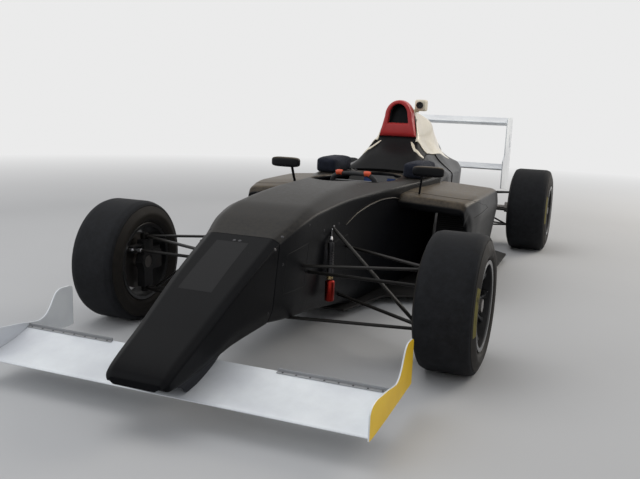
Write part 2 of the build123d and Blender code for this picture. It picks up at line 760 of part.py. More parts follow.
def build_cockpit(tub_outer, tub_space):
    """Seat, dashboard and head pads."""
    y = tub_rear_y - tub_wall
    low = floor_top + tub_wall - 4
    profile = ((y - 2, 590), (y - 32, 590), (y - 285, low + 62), (y - 350, low + 32), (y - 600, low + 48),
               (y - 604, low), (y - 262, low))
    save("seat", largest(side_plate(profile, -seat_half_width, seat_half_width) & tub_space))
    y = cockpit_front_y + dash_set_back
    dash = block((-300, 300), (y, y + dash_thickness), (455, 700)) & tub_space
    save("dashboard", largest(dash - column_run(column_radius + free_gap, 0, 1)))
    pad = block((186, 322), (tub_rear_y - 300, tub_rear_y - 1), (590, 694))
    pad = largest(chamfer(pad.edges(), 12) - Pos(0, 0, seat_gap) * tub_outer)
    save("headrest_pads", pad, other_side(pad))


def build_mirrors(pod):
    """Two mirror pods on thin stalks that stand on the sidepods."""
    y = pod_front_y + 35
    mirror = chamfer(block((313, 475), (y - 20, y + 22), (646, 700)).edges().filter_by(Axis.Y), 16)
    mirror += rod((340, y + 36, 530), (368, y + 4, 650), 5)
    mirror = largest(mirror - pod)
    save("mirrors", mirror, other_side(mirror))


def build_camera(cover):
    """A small camera housing beside the airbox, with a round lens in front."""
    y = airbox_y + airbox_depth + 20
    body = chamfer(block((60, 146), (y, y + 80), (966, 1034)).edges().filter_by(Axis.Y), 6)
    lens = rod((120, y - 8, 1000), (120, y + 4, 1000), 16)
    save("onboard_camera", largest(body + lens - cover))


os.makedirs("parts", exist_ok=True)
tub_outer, tub_space = build_tub()
build_nose(build_front_wing())
build_steering(tub_space)
build_front_suspension(tub_outer)
cover_outer, cover = build_cover(tub_outer)
pod = build_sidepods(tub_outer, cover_outer)
build_floor(tub_outer)
case, box = build_power()
build_rear_wing(box, case)
build_rear_suspension(case, cover)
build_cockpit(tub_outer, tub_space)
build_mirrors(pod)
build_camera(cover)
build_wheels()
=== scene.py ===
from math import cos, pi, radians, sin

import bmesh
import bpy
import numpy as np
from bpy.props import FloatProperty, FloatVectorProperty, IntProperty, PointerProperty
from mathutils import Matrix, Vector


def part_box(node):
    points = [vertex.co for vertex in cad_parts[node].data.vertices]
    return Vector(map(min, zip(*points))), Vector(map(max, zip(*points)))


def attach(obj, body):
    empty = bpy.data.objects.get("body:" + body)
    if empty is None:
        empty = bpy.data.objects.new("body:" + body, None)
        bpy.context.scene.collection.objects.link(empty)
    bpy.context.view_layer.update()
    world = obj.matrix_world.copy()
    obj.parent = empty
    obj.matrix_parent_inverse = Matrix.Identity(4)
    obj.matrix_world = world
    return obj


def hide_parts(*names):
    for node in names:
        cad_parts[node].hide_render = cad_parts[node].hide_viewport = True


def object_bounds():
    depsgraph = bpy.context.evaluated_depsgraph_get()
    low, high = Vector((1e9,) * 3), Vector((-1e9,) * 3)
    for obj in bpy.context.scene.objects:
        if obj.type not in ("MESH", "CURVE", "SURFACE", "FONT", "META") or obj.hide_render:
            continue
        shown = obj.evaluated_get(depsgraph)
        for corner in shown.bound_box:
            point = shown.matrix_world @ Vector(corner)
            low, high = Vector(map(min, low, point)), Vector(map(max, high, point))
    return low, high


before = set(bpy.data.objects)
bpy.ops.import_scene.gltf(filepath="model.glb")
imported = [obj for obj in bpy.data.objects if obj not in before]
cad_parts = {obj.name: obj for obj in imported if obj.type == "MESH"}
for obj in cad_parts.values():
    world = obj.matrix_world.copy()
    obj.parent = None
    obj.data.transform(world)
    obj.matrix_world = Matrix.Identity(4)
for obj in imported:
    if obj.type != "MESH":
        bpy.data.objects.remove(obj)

bl_info = {
    "name": "Open Wheel Racing Car",
    "version": (1, 0, 0),
    "blender": (4, 5, 0),
    "location": "3D View > Sidebar > Racing Car",
    "description": "Builds the visible pieces of a single seat racing car round its packed model",
    "category": "Add Mesh",
}

CAD_BOX = [list(corner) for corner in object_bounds()]
# Keeps a division by a length from failing.
TINY = 1e-9
# Points nearer to each other than this, in metres, become one.
WELD = 2e-5
# Edges that turn by more than the first stay sharp, and a bevelled piece rounds those that turn by more
# than the second.
SHARP_ANGLE = radians(38)
BEVEL_ANGLE = radians(40)


# Shapes as tables of numbers

def stacked(*columns):
    """Arrays side by side, as the last direction of one array."""
    return np.stack(np.broadcast_arrays(*columns), axis=-1)


def unit(vectors):
    """Vectors of the same directions and of length one."""
    return vectors / np.linalg.norm(vectors, axis=-1, keepdims=True)


def through(rows, at):
    """Columns of a table at any place: a cubic between rows, its slope at a row the harmonic mean
    of the slopes on both sides, or level where the column turns."""
    rows = np.asarray(rows, float)
    x, value = rows[:, 0], rows[:, 1:]
    gap = np.diff(x)[:, None]
    rise = np.diff(value, axis=0) / gap
    both = rise[:-1] * rise[1:]
    total = rise[:-1] + rise[1:]
    slope = np.concatenate([rise[:1], np.zeros_like(both), rise[-1:]])
    slope[1:-1] = np.where(both > 0, 2 * both / np.where(total == 0, 1, total), 0)
    at = np.asarray(at, float)
    i = np.clip(np.searchsorted(x, at, side="right") - 1, 0, len(x) - 2)
    t = ((at - x[i]) / gap[i, 0])[..., None]
    run = gap[i]
    return (value[i] * (1 + 2 * t) * (1 - t) ** 2 + slope[i] * run * t * (1 - t) ** 2
            + value[i + 1] * t * t * (3 - 2 * t) + slope[i + 1] * run * t * t * (t - 1))


def rounded(points, reach, samples, closed=False):
    """An outline with soft corners: a quadratic B-spline over its points, with two more control
    points beside each corner at that corner's reach along both sides."""
    points = np.asarray(points, float)
    reach = np.broadcast_to(np.asarray(reach, float), points.shape[-2:-1])[:, None]

    def beside(step):
        side = np.roll(points, step, axis=-2) - points
        length = np.linalg.norm(side, axis=-1, keepdims=True) + TINY
        return points + side * np.minimum(reach / length, 0.48)

    trio = np.stack([beside(1), points, beside(-1)], axis=-2)
    control = trio.reshape(points.shape[:-2] + (-1, points.shape[-1]))
    if closed:
        control = np.concatenate([control[..., -1:, :], control, control[..., :1, :]], axis=-2)
    else:
        control = control[..., 1:-1, :]
        control = np.concatenate([control[..., :1, :], control, control[..., -1:, :]], axis=-2)
    spans = control.shape[-2] - 2
    t = np.linspace(0, spans, samples, endpoint=not closed)
    i = np.minimum(t.astype(int), spans - 1)
    s = (t - i)[:, None]
    return (0.5 * (1 - s) ** 2 * control[..., i, :] + (0.5 + s - s * s) * control[..., i + 1, :]
            + 0.5 * s * s * control[..., i + 2, :])


def evenly(points, samples, closed=False):
    """The same line through points, sampled at equal steps of its length."""
    points = np.asarray(points, float)
    if closed:
        points = np.concatenate([points, points[:1]])
    step = np.linalg.norm(np.diff(points, axis=0), axis=1)
    length = np.concatenate([[0], np.cumsum(step)])
    at = np.linspace(0, length[-1], samples, endpoint=not closed)
    return np.stack([np.interp(at, length, points[:, k]) for k in range(points.shape[1])], axis=-1)


def resample(grid, shares):
    """Points of a grid at other shares of its first direction, one share for each row and column."""
    at = np.clip(shares, 0, 1) * (grid.shape[0] - 1)
    i = np.minimum(at.astype(int), grid.shape[0] - 2)
    part = (at - i)[..., None]
    column = np.arange(grid.shape[1])[None, :]
    return grid[i, column] * (1 - part) + grid[i + 1, column] * part


def sampled(grid, row, column):
    """Points of a grid between its rows and columns, at shares of both."""
    i, j = np.asarray(row) * (grid.shape[0] - 1), np.asarray(column) * (grid.shape[1] - 1)
    a, b = np.minimum(i.astype(int), grid.shape[0] - 2), np.minimum(j.astype(int), grid.shape[1] - 2)
    s, t = (i - a)[:, None], (j - b)[:, None]
    return ((grid[a, b] * (1 - s) + grid[a + 1, b] * s) * (1 - t)
            + (grid[a, b + 1] * (1 - s) + grid[a + 1, b + 1] * s) * t)


def spaced(count, ends):
    """Shares from 0 to 1, closer together near both ends."""
    t = np.linspace(0, 1, count)
    return (1 - ends) * t + ends * (1 - np.cos(pi * t)) / 2


# Shapes as points and faces

def lattice(grid, closed_u=False, closed_v=False, caps=(), keep=None):
    """Quads between the neighbours of a grid of points, with a flat face over the ends named in caps."""
    grid = np.asarray(grid, float)
    rows, columns = grid.shape[:2]
    index = np.arange(rows * columns).reshape(rows, columns)
    if closed_u:
        index = np.vstack([index, index[:1]])
    if closed_v:
        index = np.hstack([index, index[:, :1]])
    faces = stacked(index[:-1, :-1], index[1:, :-1], index[1:, 1:], index[:-1, 1:])
    u, v = np.meshgrid(np.arange(index.shape[0]) / rows, np.arange(index.shape[1]) / columns, indexing="ij")
    place = stacked(u, v)
    corners = np.stack([place[:-1, :-1], place[1:, :-1], place[1:, 1:], place[:-1, 1:]], axis=-2)
    if keep is not None:
        faces, corners = faces[keep], corners[keep]
    faces = faces.reshape(-1, 4).tolist()
    layout = corners.reshape(-1, 2)
    ends = {"start": index[0, :columns], "end": index[rows - 1, :columns][::-1],
            "left": index[:rows, 0][::-1], "right": index[:rows, columns - 1]}
    for end in caps:
        faces.append(ends[end].tolist())
        layout = np.vstack([layout, np.zeros((len(ends[end]), 2))])
    return grid.reshape(-1, 3), faces, layout


def tube(grid):
    """A grid whose columns close round it, with a flat face over its first and its last row."""
    return lattice(grid, closed_v=True, caps=("start", "end"))


def joined(*forms):
    """Several forms as one."""
    points, faces, layout, base = [], [], [], 0
    for form in forms:
        points.append(form[0])
        faces += [[corner + base for corner in face] for face in form[1]]
        layout.append(form[2])
        base += len(form[0])
    return np.vstack(points), faces, np.vstack(layout)


def moved(form, origin=(0, 0, 0), out=(0, 0, 1), along=None):
    """A form drawn round Z, set at origin with its Z pointing out and its X near along."""
    z = unit(out)
    if along is None:
        along = (1, 0, 0) if abs(z[0]) < 0.9 else (0, 1, 0)
    x = unit(along - z * (along @ z))
    turn = np.stack([x, np.cross(z, x), z])
    return (form[0] @ turn + origin, *form[1:])


def mirrored(form):
    """The same form on the car's right."""
    return (form[0] * (-1, 1, 1), [face[::-1] for face in form[1]], layout_turned(form), *form[3:])


def layout_turned(form):
    """The layout of a form whose faces run the other way round."""
    sizes = np.array([len(face) for face in form[1]])
    last = np.cumsum(sizes)
    order = np.concatenate([np.arange(b - 1, b - n - 1, -1) for b, n in zip(last, sizes)])
    return form[2][order]


def both(*forms):
    """Forms and their mirror images as one form."""
    form = joined(*forms)
    return joined(form, mirrored(form))


def lathe(profile, steps, closed=True, caps=()):
    """A ring round Z: each point of the profile is a radius and a height, turned through a circle."""
    angle = circle(steps)[:, None]
    radius, height = np.transpose(profile)
    grid = stacked(radius * np.cos(angle), radius * np.sin(angle), height)
    return lattice(grid, closed_u=True, closed_v=closed, caps=caps)


def circle(count):
    """Angles at equal steps round a circle."""
    return np.linspace(0, 2 * pi, count, endpoint=False)


def hoop(outline, reach, samples, steps):
    """A closed ring round Z whose section is an outline of radius and height with soft corners."""
    return lathe(rounded(outline, reach, samples, closed=True), steps)


def spun(profile, place=(0, 0, 0), out=(0, 0, 1), steps=40):
    """A solid of revolution: a profile of radius and height that starts and ends near the axis."""
    return moved(lathe(profile, steps, closed=False), place, out)


def superellipse(angle, power):
    """Cosine and sine of angles raised to a power, each with its own sign kept."""
    return [np.sign(value) * np.abs(value) ** power for value in (np.cos(angle), np.sin(angle))]


def swept(path, width, height, around=16, square=2.0, up=(0, 0, 1)):
    """A bar along a path: at each station a superellipse with the given half width and half height."""
    path = np.asarray(path, float)
    forward = unit(np.gradient(path, axis=0))
    side = unit(np.cross(forward, up))
    top = np.cross(side, forward)
    c, s = superellipse(circle(around), 2 / square)
    wide = np.broadcast_to(width, len(path))[:, None, None]
    high = np.broadcast_to(height, len(path))[:, None, None]
    return tube(path[:, None] + side[:, None] * wide * c[:, None] + top[:, None] * high * s[:, None])


def rod(start, end, radius, around=20):
    """A round bar with small bevels at its ends."""
    start, end = np.asarray(start, float), np.asarray(end, float)
    length = np.linalg.norm(end - start)
    edge = min(0.15 * radius, 0.1 * length)
    profile = [(radius - edge, 0), (radius, edge), (radius, length - edge), (radius - edge, length)]
    return moved(lathe(profile, around, closed=False, caps=("left", "right")), start, end - start)


def bolt(place, out, radius, height, sides=6):
    """A screw head with a washer: a many-sided cap on a thin disc."""
    hole = 0.0001
    washer = [(hole, 0), (radius * 1.45, 0), (radius * 1.5, height * 0.15), (radius * 1.4, height * 0.3),
              (hole, height * 0.3)]
    head = [(hole, 0), (radius, 0), (radius, height * 0.85), (radius * 0.85, height), (hole, height)]
    return joined(spun(washer, place, out, 20), spun(head, place, out, sides))


def slab(outline, reach, thickness, samples, edge):
    """A plate: a rounded outline in three dimensions, thickened along its own normal with soft edges."""
    loop = rounded(outline, reach, samples, closed=True)
    ahead, behind = np.roll(loop, -1, axis=0), np.roll(loop, 1, axis=0)
    normal = unit(np.cross(loop, ahead).sum(axis=0))
    inward = np.cross(normal, ahead - behind)
    inward /= np.linalg.norm(inward, axis=1, keepdims=True) + TINY
    half = thickness / 2
    levels = ((-half, edge), (-half + edge * 0.3, edge * 0.3), (-half + edge, 0), (half - edge, 0),
              (half - edge * 0.3, edge * 0.3), (half, edge))
    return tube(np.stack([loop + normal * level + inward * step for level, step in levels]))


def pillow(centre, size, square, across=24, along=24):
    """A rounded box: a superellipsoid with the given half sizes."""
    rise_across, rise_up = superellipse(np.linspace(-pi / 2, pi / 2, across)[:, None], 2 / square)
    turn_x, turn_y = superellipse(np.linspace(-pi, pi, along, endpoint=False), 2 / square)
    grid = stacked(rise_across * turn_x, rise_across * turn_y, rise_up)
    return lattice(grid * size + centre, closed_v=True)


def piece(name, slot, forms, replaces=(), finish=None, solid=0.0, bevel=0.0, body="chassis"):
    """Puts forms into one mesh object, gives each form its finish and hands the piece to the frame."""
    mesh = bpy.data.meshes.new(name)
    points, faces, layout = joined(*forms)
    mesh.from_pydata(points.tolist(), [], faces)
    marks = np.concatenate([np.full(len(form[1]), form[3] if len(form) > 3 else 0) for form in forms])
    mesh.polygons.foreach_set("material_index", marks.astype(np.int32))
    mesh.uv_layers.new(name="layout").data.foreach_set("uv", layout.astype(np.float32).ravel())
    work = bmesh.new()
    work.from_mesh(mesh)
    bmesh.ops.remove_doubles(work, verts=work.verts, dist=WELD)
    bmesh.ops.recalc_face_normals(work, faces=work.faces)
    work.to_mesh(mesh)
    work.free()
    mesh.shade_smooth()
    mesh.set_sharp_from_angle(angle=SHARP_ANGLE)
    item = bpy.data.objects.new(name, mesh)
    bpy.context.scene.collection.objects.link(item)
    for material in (finish or (slot,)):
        mesh.materials.append(finished(material))
    if solid:
        wall = item.modifiers.new("wall", "SOLIDIFY")
        wall.thickness = solid
        wall.offset = 0
    if bevel:
        edge = item.modifiers.new("edge", "BEVEL")
        edge.width = bevel
        edge.segments = 2
        edge.limit_method = "ANGLE"
        edge.angle_limit = BEVEL_ANGLE
    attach(item, body)
    if replaces:
        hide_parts(*replaces)
    return item


def marked(form, index):
    """A form whose faces take the piece's finish with this index."""
    return form[0], form[1], form[2], index


# Finishes

class Recipe:
    """The nodes of one material, added step by step. Most patterns read object coordinates. The tyre's read
    the layout.
    """

    def __init__(self, name, colour, rough, metal=0.0, coat=0.0, level=0.5):
        plain = bpy.data.materials.get(name)
        if plain:
            plain.name = name + "_plain"
        self.material = bpy.data.materials.new(name)
        self.material["finish"] = name
        self.material.use_nodes = True
        self.tree = self.material.node_tree
        self.shader = self.tree.nodes["Principled BSDF"]
        for socket, value in (("Base Color", (*colour, 1)), ("Roughness", rough), ("Metallic", metal),
                              ("Coat Weight", coat), ("Coat Roughness", 0.08), ("Specular IOR Level", level)):
            self.shader.inputs[socket].default_value = value
        source = self.add("ShaderNodeTexCoord")
        self.place, self.layout = source.outputs["Object"], source.outputs["UV"]

    def add(self, kind, inputs=(), **settings):
        node = self.tree.nodes.new(kind)
        for key, value in settings.items():
            setattr(node, key, value)
        for key, value in dict(inputs).items():
            if isinstance(value, bpy.types.NodeSocket):
                self.tree.links.new(value, node.inputs[key])
            else:
                node.inputs[key].default_value = value
        return node

    def noise(self, scale, detail, rough=0.55, stretch=None):
        """Soft patches, from 0 to 1."""
        place = self.place
        if stretch:
            place = self.add("ShaderNodeMapping", {"Vector": place, "Scale": stretch}).outputs[0]
        return self.add("ShaderNodeTexNoise", {"Vector": place, "Scale": scale, "Detail": detail,
                                               "Roughness": rough}).outputs["Fac"]

    def cells(self, scale):
        """The distance to the nearest of many scattered points."""
        return self.add("ShaderNodeTexVoronoi", {"Vector": self.place, "Scale": scale}).outputs["Distance"]

    def span(self, value, low, high, start=0.0, end=1.0):
        """A value between low and high as one between start and end."""
        return self.add("ShaderNodeMapRange", {"Value": value, "From Min": low, "From Max": high,
                                               "To Min": start, "To Max": end}).outputs["Result"]

    def sum(self, operation, a, b=0.0):
        return self.add("ShaderNodeMath", {0: a, 1: b}, operation=operation).outputs[0]

    def times(self, a, b):
        return self.sum("MULTIPLY", a, b)

    def plus(self, a, b):
        return self.sum("ADD", a, b)

    def wave(self, along, pitch):
        return self.sum("SINE", self.times(along, 2 * pi / pitch))

    def axes(self, place):
        return self.add("ShaderNodeSeparateXYZ", {0: place}).outputs

    def mix(self, factor, a, b):
        a, b = [(*value, 1) if isinstance(value, tuple) and len(value) == 3 else value for value in (a, b)]
        return self.add("ShaderNodeMix", {0: factor, 6: a, 7: b}, data_type="RGBA").outputs[2]

    def paint(self, socket):
        self.tree.links.new(socket, self.shader.inputs["Base Color"])

    def polish(self, socket):
        self.tree.links.new(socket, self.shader.inputs["Roughness"])

    def relief(self, height, distance, strength):
        bump = self.add("ShaderNodeBump", {"Height": height, "Distance": distance, "Strength": strength})
        self.tree.links.new(bump.outputs[0], self.shader.inputs["Normal"])

    def facing_up(self):
        """One where the surface looks up, zero where it stands upright."""
        normal = self.add("ShaderNodeNewGeometry").outputs["Normal"]
        return self.axes(normal)["Z"]


def shade(colour, factor):
    """A darker or lighter version of a colour."""
    return tuple(min(1.0, part * factor) for part in colour)


def painted(name, colour, rough, coat, dust, level=0.5, dust_and_sheen_colour=(0.32, 0.29, 0.25)):
    """Sprayed panel: faded in broad patches, dust on faces that look up, fine grain and small chips. Where
    that colour is warm and strong, the lighter upward faces are also a painted sheen of warm light.
    """
    r = Recipe(name, colour, rough, coat=coat, level=level)
    broad = r.noise(2.5, 4)
    fine = r.noise(55, 5, 0.7)
    base = r.mix(r.span(broad, 0.35, 0.65), shade(colour, 0.82), shade(colour, 1.15))
    # Faces that look up take the dust colour. This is real dust, and on the sidepods it is also a painted
    # warm sheen.
    dust_and_sheen = r.times(r.span(r.facing_up(), 0.25, 1.0), r.span(fine, 0.15, 0.85))
    dust_and_sheen = r.times(dust_and_sheen, dust)
    base = r.mix(dust_and_sheen, base, dust_and_sheen_colour)
    chips = r.span(r.cells(120), 0.05, 0.02, 0, 0.5)
    chips = r.times(chips, r.span(r.noise(6, 2), 0.6, 0.7))
    r.paint(r.mix(chips, base, shade(dust_and_sheen_colour, 1.4)))
    r.polish(r.span(r.plus(r.times(fine, 0.4), dust_and_sheen), 0.1, 0.9, rough * 0.85, rough + 0.3))
    r.relief(r.plus(r.noise(900, 2), r.times(broad, 4)), 0.0002, 0.25)
    return r


def woven(name, colour, rough=0.35, coat=0.4, pitch=0.004, level=0.5, dust=0.35):
    """Carbon cloth under lacquer: two sets of slanted threads that pass over each other."""
    r = Recipe(name, colour, rough, coat=coat, level=level)
    turned = r.add("ShaderNodeMapping", {"Vector": r.place, "Rotation": (0.6, 0.5, pi / 4)}).outputs[0]
    x, y, _ = r.axes(turned)
    over = r.span(r.times(r.wave(x, pitch), r.wave(y, pitch)), -0.4, 0.4)
    broad = r.noise(4, 4)
    base = r.mix(over, shade(colour, 0.75), shade(colour, 1.35))
    r.paint(r.mix(r.span(broad, 0.4, 0.75, 0, dust), base, (0.09, 0.085, 0.08)))
    r.polish(r.span(r.plus(over, broad), 0.3, 1.6, rough, rough + 0.18))
    r.relief(over, 0.0002, 0.3)
    return r


def moulded(name, colour, rough, grain=500, dust=0.15):
    """Plastic from a grained mould, duller where it is handled."""
    r = Recipe(name, colour, rough)
    broad = r.noise(9, 4)
    base = r.mix(r.span(broad, 0.35, 0.7), shade(colour, 0.8), shade(colour, 1.2))
    r.paint(r.mix(r.span(r.noise(70, 5, 0.7), 0.55, 0.8, 0, dust), base, (0.3, 0.28, 0.25)))
    r.polish(r.span(broad, 0.3, 0.7, rough - 0.1, rough + 0.12))
    r.relief(r.noise(grain, 2), 0.0003, 0.35)
    return r


def metal(name, colour, rough, grime, stretch=(1, 1, 1), cast=False):
    """Bare metal: machined lines or a cast skin, with dark grime in patches."""
    r = Recipe(name, colour, rough, metal=1.0)
    broad = r.noise(14, 5, 0.6)
    lines = r.noise(120 if cast else 260, 4, 0.6, stretch)
    base = r.mix(lines, shade(colour, 0.8), shade(colour, 1.1))
    r.paint(r.mix(r.span(broad, 0.5, 0.75, 0, grime), base, (0.06, 0.05, 0.045)))
    r.polish(r.span(r.plus(broad, lines), 0.6, 1.4, rough * 0.8, rough + 0.22))
    r.relief(lines, 0.0008 if cast else 0.0001, 0.4)
    return r


def rubber(name, tread, mark):
    """Slick tyre: scuffed and pitted tread, dusty walls, a plain stripe in two short arcs outside."""
    # Arcs as shares of half a turn, the stripe's edges and the wall's as shares of the tyre's radius.
    arc_shift, arc_start, arc_end = 0.406, 0.24, 0.49
    stripe_low, stripe_high, wall_low, wall_high = 0.800, 0.880, 0.915, 0.930
    r = Recipe(name, tread, 0.75, level=0.12)
    around, out, _ = r.axes(r.layout)
    wall = r.span(out, wall_high, wall_low)
    worn = r.noise(28, 6, 0.7)
    grit = r.noise(260, 4, 0.7)
    base = r.mix(r.span(worn, 0.35, 0.7), shade(tread, 0.75), shade(tread, 1.6))
    base = r.mix(r.span(grit, 0.58, 0.75, 0, 0.6), base, shade(tread, 2.6))
    base = r.mix(r.times(wall, r.span(worn, 0.25, 0.75, 0.35, 0.9)), base, (0.024, 0.020, 0.0155))
    turn = r.sum("FRACT", r.plus(r.times(around, 2.0), arc_shift))
    arc = r.times(r.sum("GREATER_THAN", turn, arc_start), r.sum("LESS_THAN", turn, arc_end))
    arc = r.times(arc, r.sum("LESS_THAN", around, 1.001))
    band = r.times(r.sum("GREATER_THAN", out, stripe_low), r.sum("LESS_THAN", out, stripe_high))
    stripe = r.times(r.times(arc, band), r.span(r.noise(60, 4), 0.3, 0.45, 0.15, 0.8))
    r.paint(r.mix(stripe, base, mark))
    r.polish(r.span(r.sum("SUBTRACT", worn, r.times(wall, 0.30)), 0.0, 0.8, 0.5, 0.85))
    pits = r.times(r.span(r.cells(190), 0.25, 0.05), r.span(r.noise(18, 3), 0.45, 0.6))
    height = r.sum("SUBTRACT", r.plus(grit, worn), pits)
    r.relief(r.times(height, r.span(wall, 0, 1, 1.0, 0.25)), 0.0012, 0.5)
    return r


def cloth(name, colour, pitch=0.0016):
    """Woven cover: fine crossed threads on object coordinates, faded in broad patches."""
    r = Recipe(name, colour, 0.85, level=0.2)
    r.shader.inputs["Sheen Weight"].default_value = 0.04
    x, y, z = [r.wave(axis, pitch) for axis in r.axes(r.place)]
    thread = r.plus(r.plus(x, y), z)
    broad = r.noise(12, 4)
    base = r.mix(r.span(thread, -1.5, 1.5), shade(colour, 0.7), shade(colour, 1.25))
    r.paint(r.mix(r.span(broad, 0.45, 0.75, 0, 0.3), base, shade(colour, 1.9)))
    r.relief(r.plus(thread, r.times(r.noise(30, 4), 3)), 0.0004, 0.4)
    return r


def finned(name, colour):
    """Radiator core: thin folded fins between flat tubes, with painted shade in the gaps between the fins."""
    r = Recipe(name, colour, 0.45, metal=0.8)
    x, _, z = r.axes(r.place)
    fins = r.span(r.wave(x, 0.003), -0.2, 0.6)
    tubes = r.span(r.wave(z, 0.011), 0.5, 0.8)
    # The gaps between the fins are darkened as painted shade.
    base = r.mix(fins, shade(colour, 0.2), colour)
    r.paint(r.mix(tubes, base, shade(colour, 1.3)))
    r.relief(r.plus(fins, tubes), 0.001, 0.7)
    return r


def clear(name, colour):
    """Coloured lens over small round lamps."""
    r = Recipe(name, colour, 0.08, coat=1.0)
    dots = r.span(r.cells(95), 0.25, 0.35)
    r.paint(r.mix(dots, shade(colour, 1.6), shade(colour, 0.6)))
    r.relief(dots, 0.0004, 0.3)
    return r


def silvered(name, colour):
    """Mirror glass with a little dust."""
    r = Recipe(name, colour, 0.05, metal=1.0)
    dust = r.span(r.noise(80, 5, 0.7), 0.5, 0.8, 0, 0.35)
    r.paint(r.mix(dust, colour, (0.5, 0.48, 0.45)))
    r.polish(r.span(dust, 0, 0.35, 0.03, 0.3))
    return r


PALE_DUST = (0.56, 0.54, 0.50)

# For every slot the function that makes its material and its colour: three numbers, or one of the
# user's colours with a factor. What else that function takes follows in its own order.
FINISHES = {
    "tub_black": (painted, ("body", 1), 0.40, 0.0, 0.11, 0.12, (0.34, 0.29, 0.22)),
    "nose_black": (painted, ("body", 0.9), 0.36, 0.0, 0.01, 0.05),
    "bulkhead_black": (painted, ("body", 0.7), 0.5, 0.0, 0.02, 0.1),
    "patch_black": (painted, ("body", 1.35), 0.40, 0.0, 0.02, 0.09),
    "plate_grey": (painted, ("body", 4.5), 0.42, 0.0, 0.05, 0.1),
    "strip_grey": (painted, (0.33, 0.335, 0.345), 0.4, 0.1, 0.2),
    "wing_white": (painted, ("wings", 1), 0.35, 0.2, 0.16, 0.5, PALE_DUST),
    "endplate_white": (painted, ("wings", 1), 0.35, 0.2, 0.15, 0.5, PALE_DUST),
    "endplate_yellow": (painted, ("plate", 1), 0.40, 0.05, 0.04, 0.2),
    "carbon": (woven, (0.022, 0.022, 0.024)),
    "aluminium": (metal, (0.75, 0.76, 0.77), 0.32, 0.15, (0.05, 1, 1)),
    "seat_black": (woven, (0.02, 0.02, 0.021), 0.5, 0.1),
    "pad_navy": (cloth, (0.011, 0.0135, 0.023)),
    # cover_white and camera_cream take the cover's colour, whose cream is partly painted warm light.
    "cover_white": (painted, ("cover", 1), 0.33, 0.4, 0.12, 0.5, (0.5, 0.44, 0.36)),
    "cover_black": (painted, ("body", 0.8), 0.34, 0.0, 0.05, 0.1),
    "airbox_red": (painted, ("airbox", 1), 0.36, 0.1, 0.08, 0.3, (0.45, 0.25, 0.2)),
    "camera_cream": (moulded, ("cover", 1), 0.45),
    # Sidepods, tub rim, flank moulding and mirror pods: the strong tan on faces that look up is partly dust
    # and partly a painted warm sheen of low sunlight.
    "sidepod_black": (painted, ("body", 1), 0.32, 0.0, 0.42, 0.15, (0.42, 0.32, 0.20)),
    "radiator": (finned, (0.045, 0.045, 0.047)),
    "floor_black": (woven, (0.015, 0.0145, 0.014), 0.55, 0.0, 0.006, 0.2),
    "cast_metal": (metal, (0.42, 0.42, 0.43), 0.5, 0.5, (1, 1, 1), True),
    "exhaust_steel": (metal, (0.5, 0.42, 0.34), 0.35, 0.5),
    "light_red": (clear, (0.35, 0.01, 0.01)),
    "arm_black": (woven, (0.006, 0.0055, 0.005), 0.3, 0.0, 0.003, 0.15, 0.1),
    "damper_red": (metal, (0.27, 0.020, 0.014), 0.3, 0.2, (1, 1, 0.1)),
    "upright_metal": (metal, (0.055, 0.055, 0.058), 0.5, 0.6, (1, 1, 1), True),
    "steel": (metal, (0.5, 0.5, 0.52), 0.3, 0.35),
    "brass": (metal, (0.50, 0.37, 0.19), 0.35, 0.4),
    "steel_dark": (metal, (0.07, 0.07, 0.075), 0.4, 0.4),
    "wheel_grip": (moulded, (0.02, 0.02, 0.022), 0.7, 300),
    "grip_orange": (moulded, (0.80, 0.10, 0.03), 0.5, 300),
    "rim_black": (painted, (0.016, 0.016, 0.017), 0.32, 0.3, 0.10),
    "rim_lip": (metal, (0.24, 0.24, 0.25), 0.22, 0.15),
    "tyre_rubber": (rubber, (0.0125, 0.0130, 0.0145), (0.19, 0.165, 0.045)),
    "disc_iron": (metal, (0.24, 0.225, 0.215), 0.36, 0.35),
    "gap_black": (moulded, (0.006, 0.006, 0.006), 0.8, 300, 0.05),
    "duct_black": (moulded, (0.010, 0.010, 0.011), 0.7, 200, 0.05),
    "glass": (silvered, (0.85, 0.87, 0.88)),
    "strap_blue": (cloth, (0.02, 0.04, 0.12), 0.0022),
}


def finished(slot):
    """The material of a slot, made once. The frame's own material of that name is plain and is set aside."""
    material = bpy.data.materials.get(slot)
    if material is None or "finish" not in material:
        make, colour, *values = FINISHES[slot]
        if isinstance(colour[0], str):
            colour = shade(getattr(bpy.context.scene.racing_car_colours, colour[0]), colour[1])
        material = make(slot, colour, *values).material
    return material


# Tables and sizes, in metres

# Half of the gap between nose and tub.
NOSE_GAP = 0.0022
# Frames that the head pad's cloth runs for.
SWELL_FRAMES = 20
# Share of the nose's or tub's length, floor z, keel z, crease half width, crease z, top z.
NOSE_ROWS = (
    (0.000, 0.152, 0.158, 0.108, 0.164, 0.172),
    (0.060, 0.147, 0.158, 0.116, 0.190, 0.202),
    (0.300, 0.150, 0.180, 0.126, 0.268, 0.282),
    (0.660, 0.172, 0.230, 0.143, 0.390, 0.404),
    (1.000, 0.178, 0.235, 0.157, 0.490, 0.506),
)
TUB_ROWS = (
    (0.000, 0.178, 0.235, 0.157, 0.490, 0.506),
    (0.085, 0.162, 0.225, 0.188, 0.545, 0.563),
    (0.160, 0.150, 0.215, 0.200, 0.571, 0.596),
    (0.370, 0.092, 0.180, 0.212, 0.589, 0.628),
    (0.520, 0.050, 0.150, 0.228, 0.588, 0.634),
    (0.720, 0.050, 0.150, 0.275, 0.592, 0.612),
    (0.860, 0.050, 0.150, 0.325, 0.598, 0.606),
    (1.000, 0.050, 0.150, 0.346, 0.600, 0.606),
)
# Share of the cockpit's length from its front, half width of its opening.
COCKPIT_ROWS = ((0.0, 0.118), (0.10, 0.165), (0.30, 0.195), (0.55, 0.205), (0.66, 0.180), (1.0, 0.178))
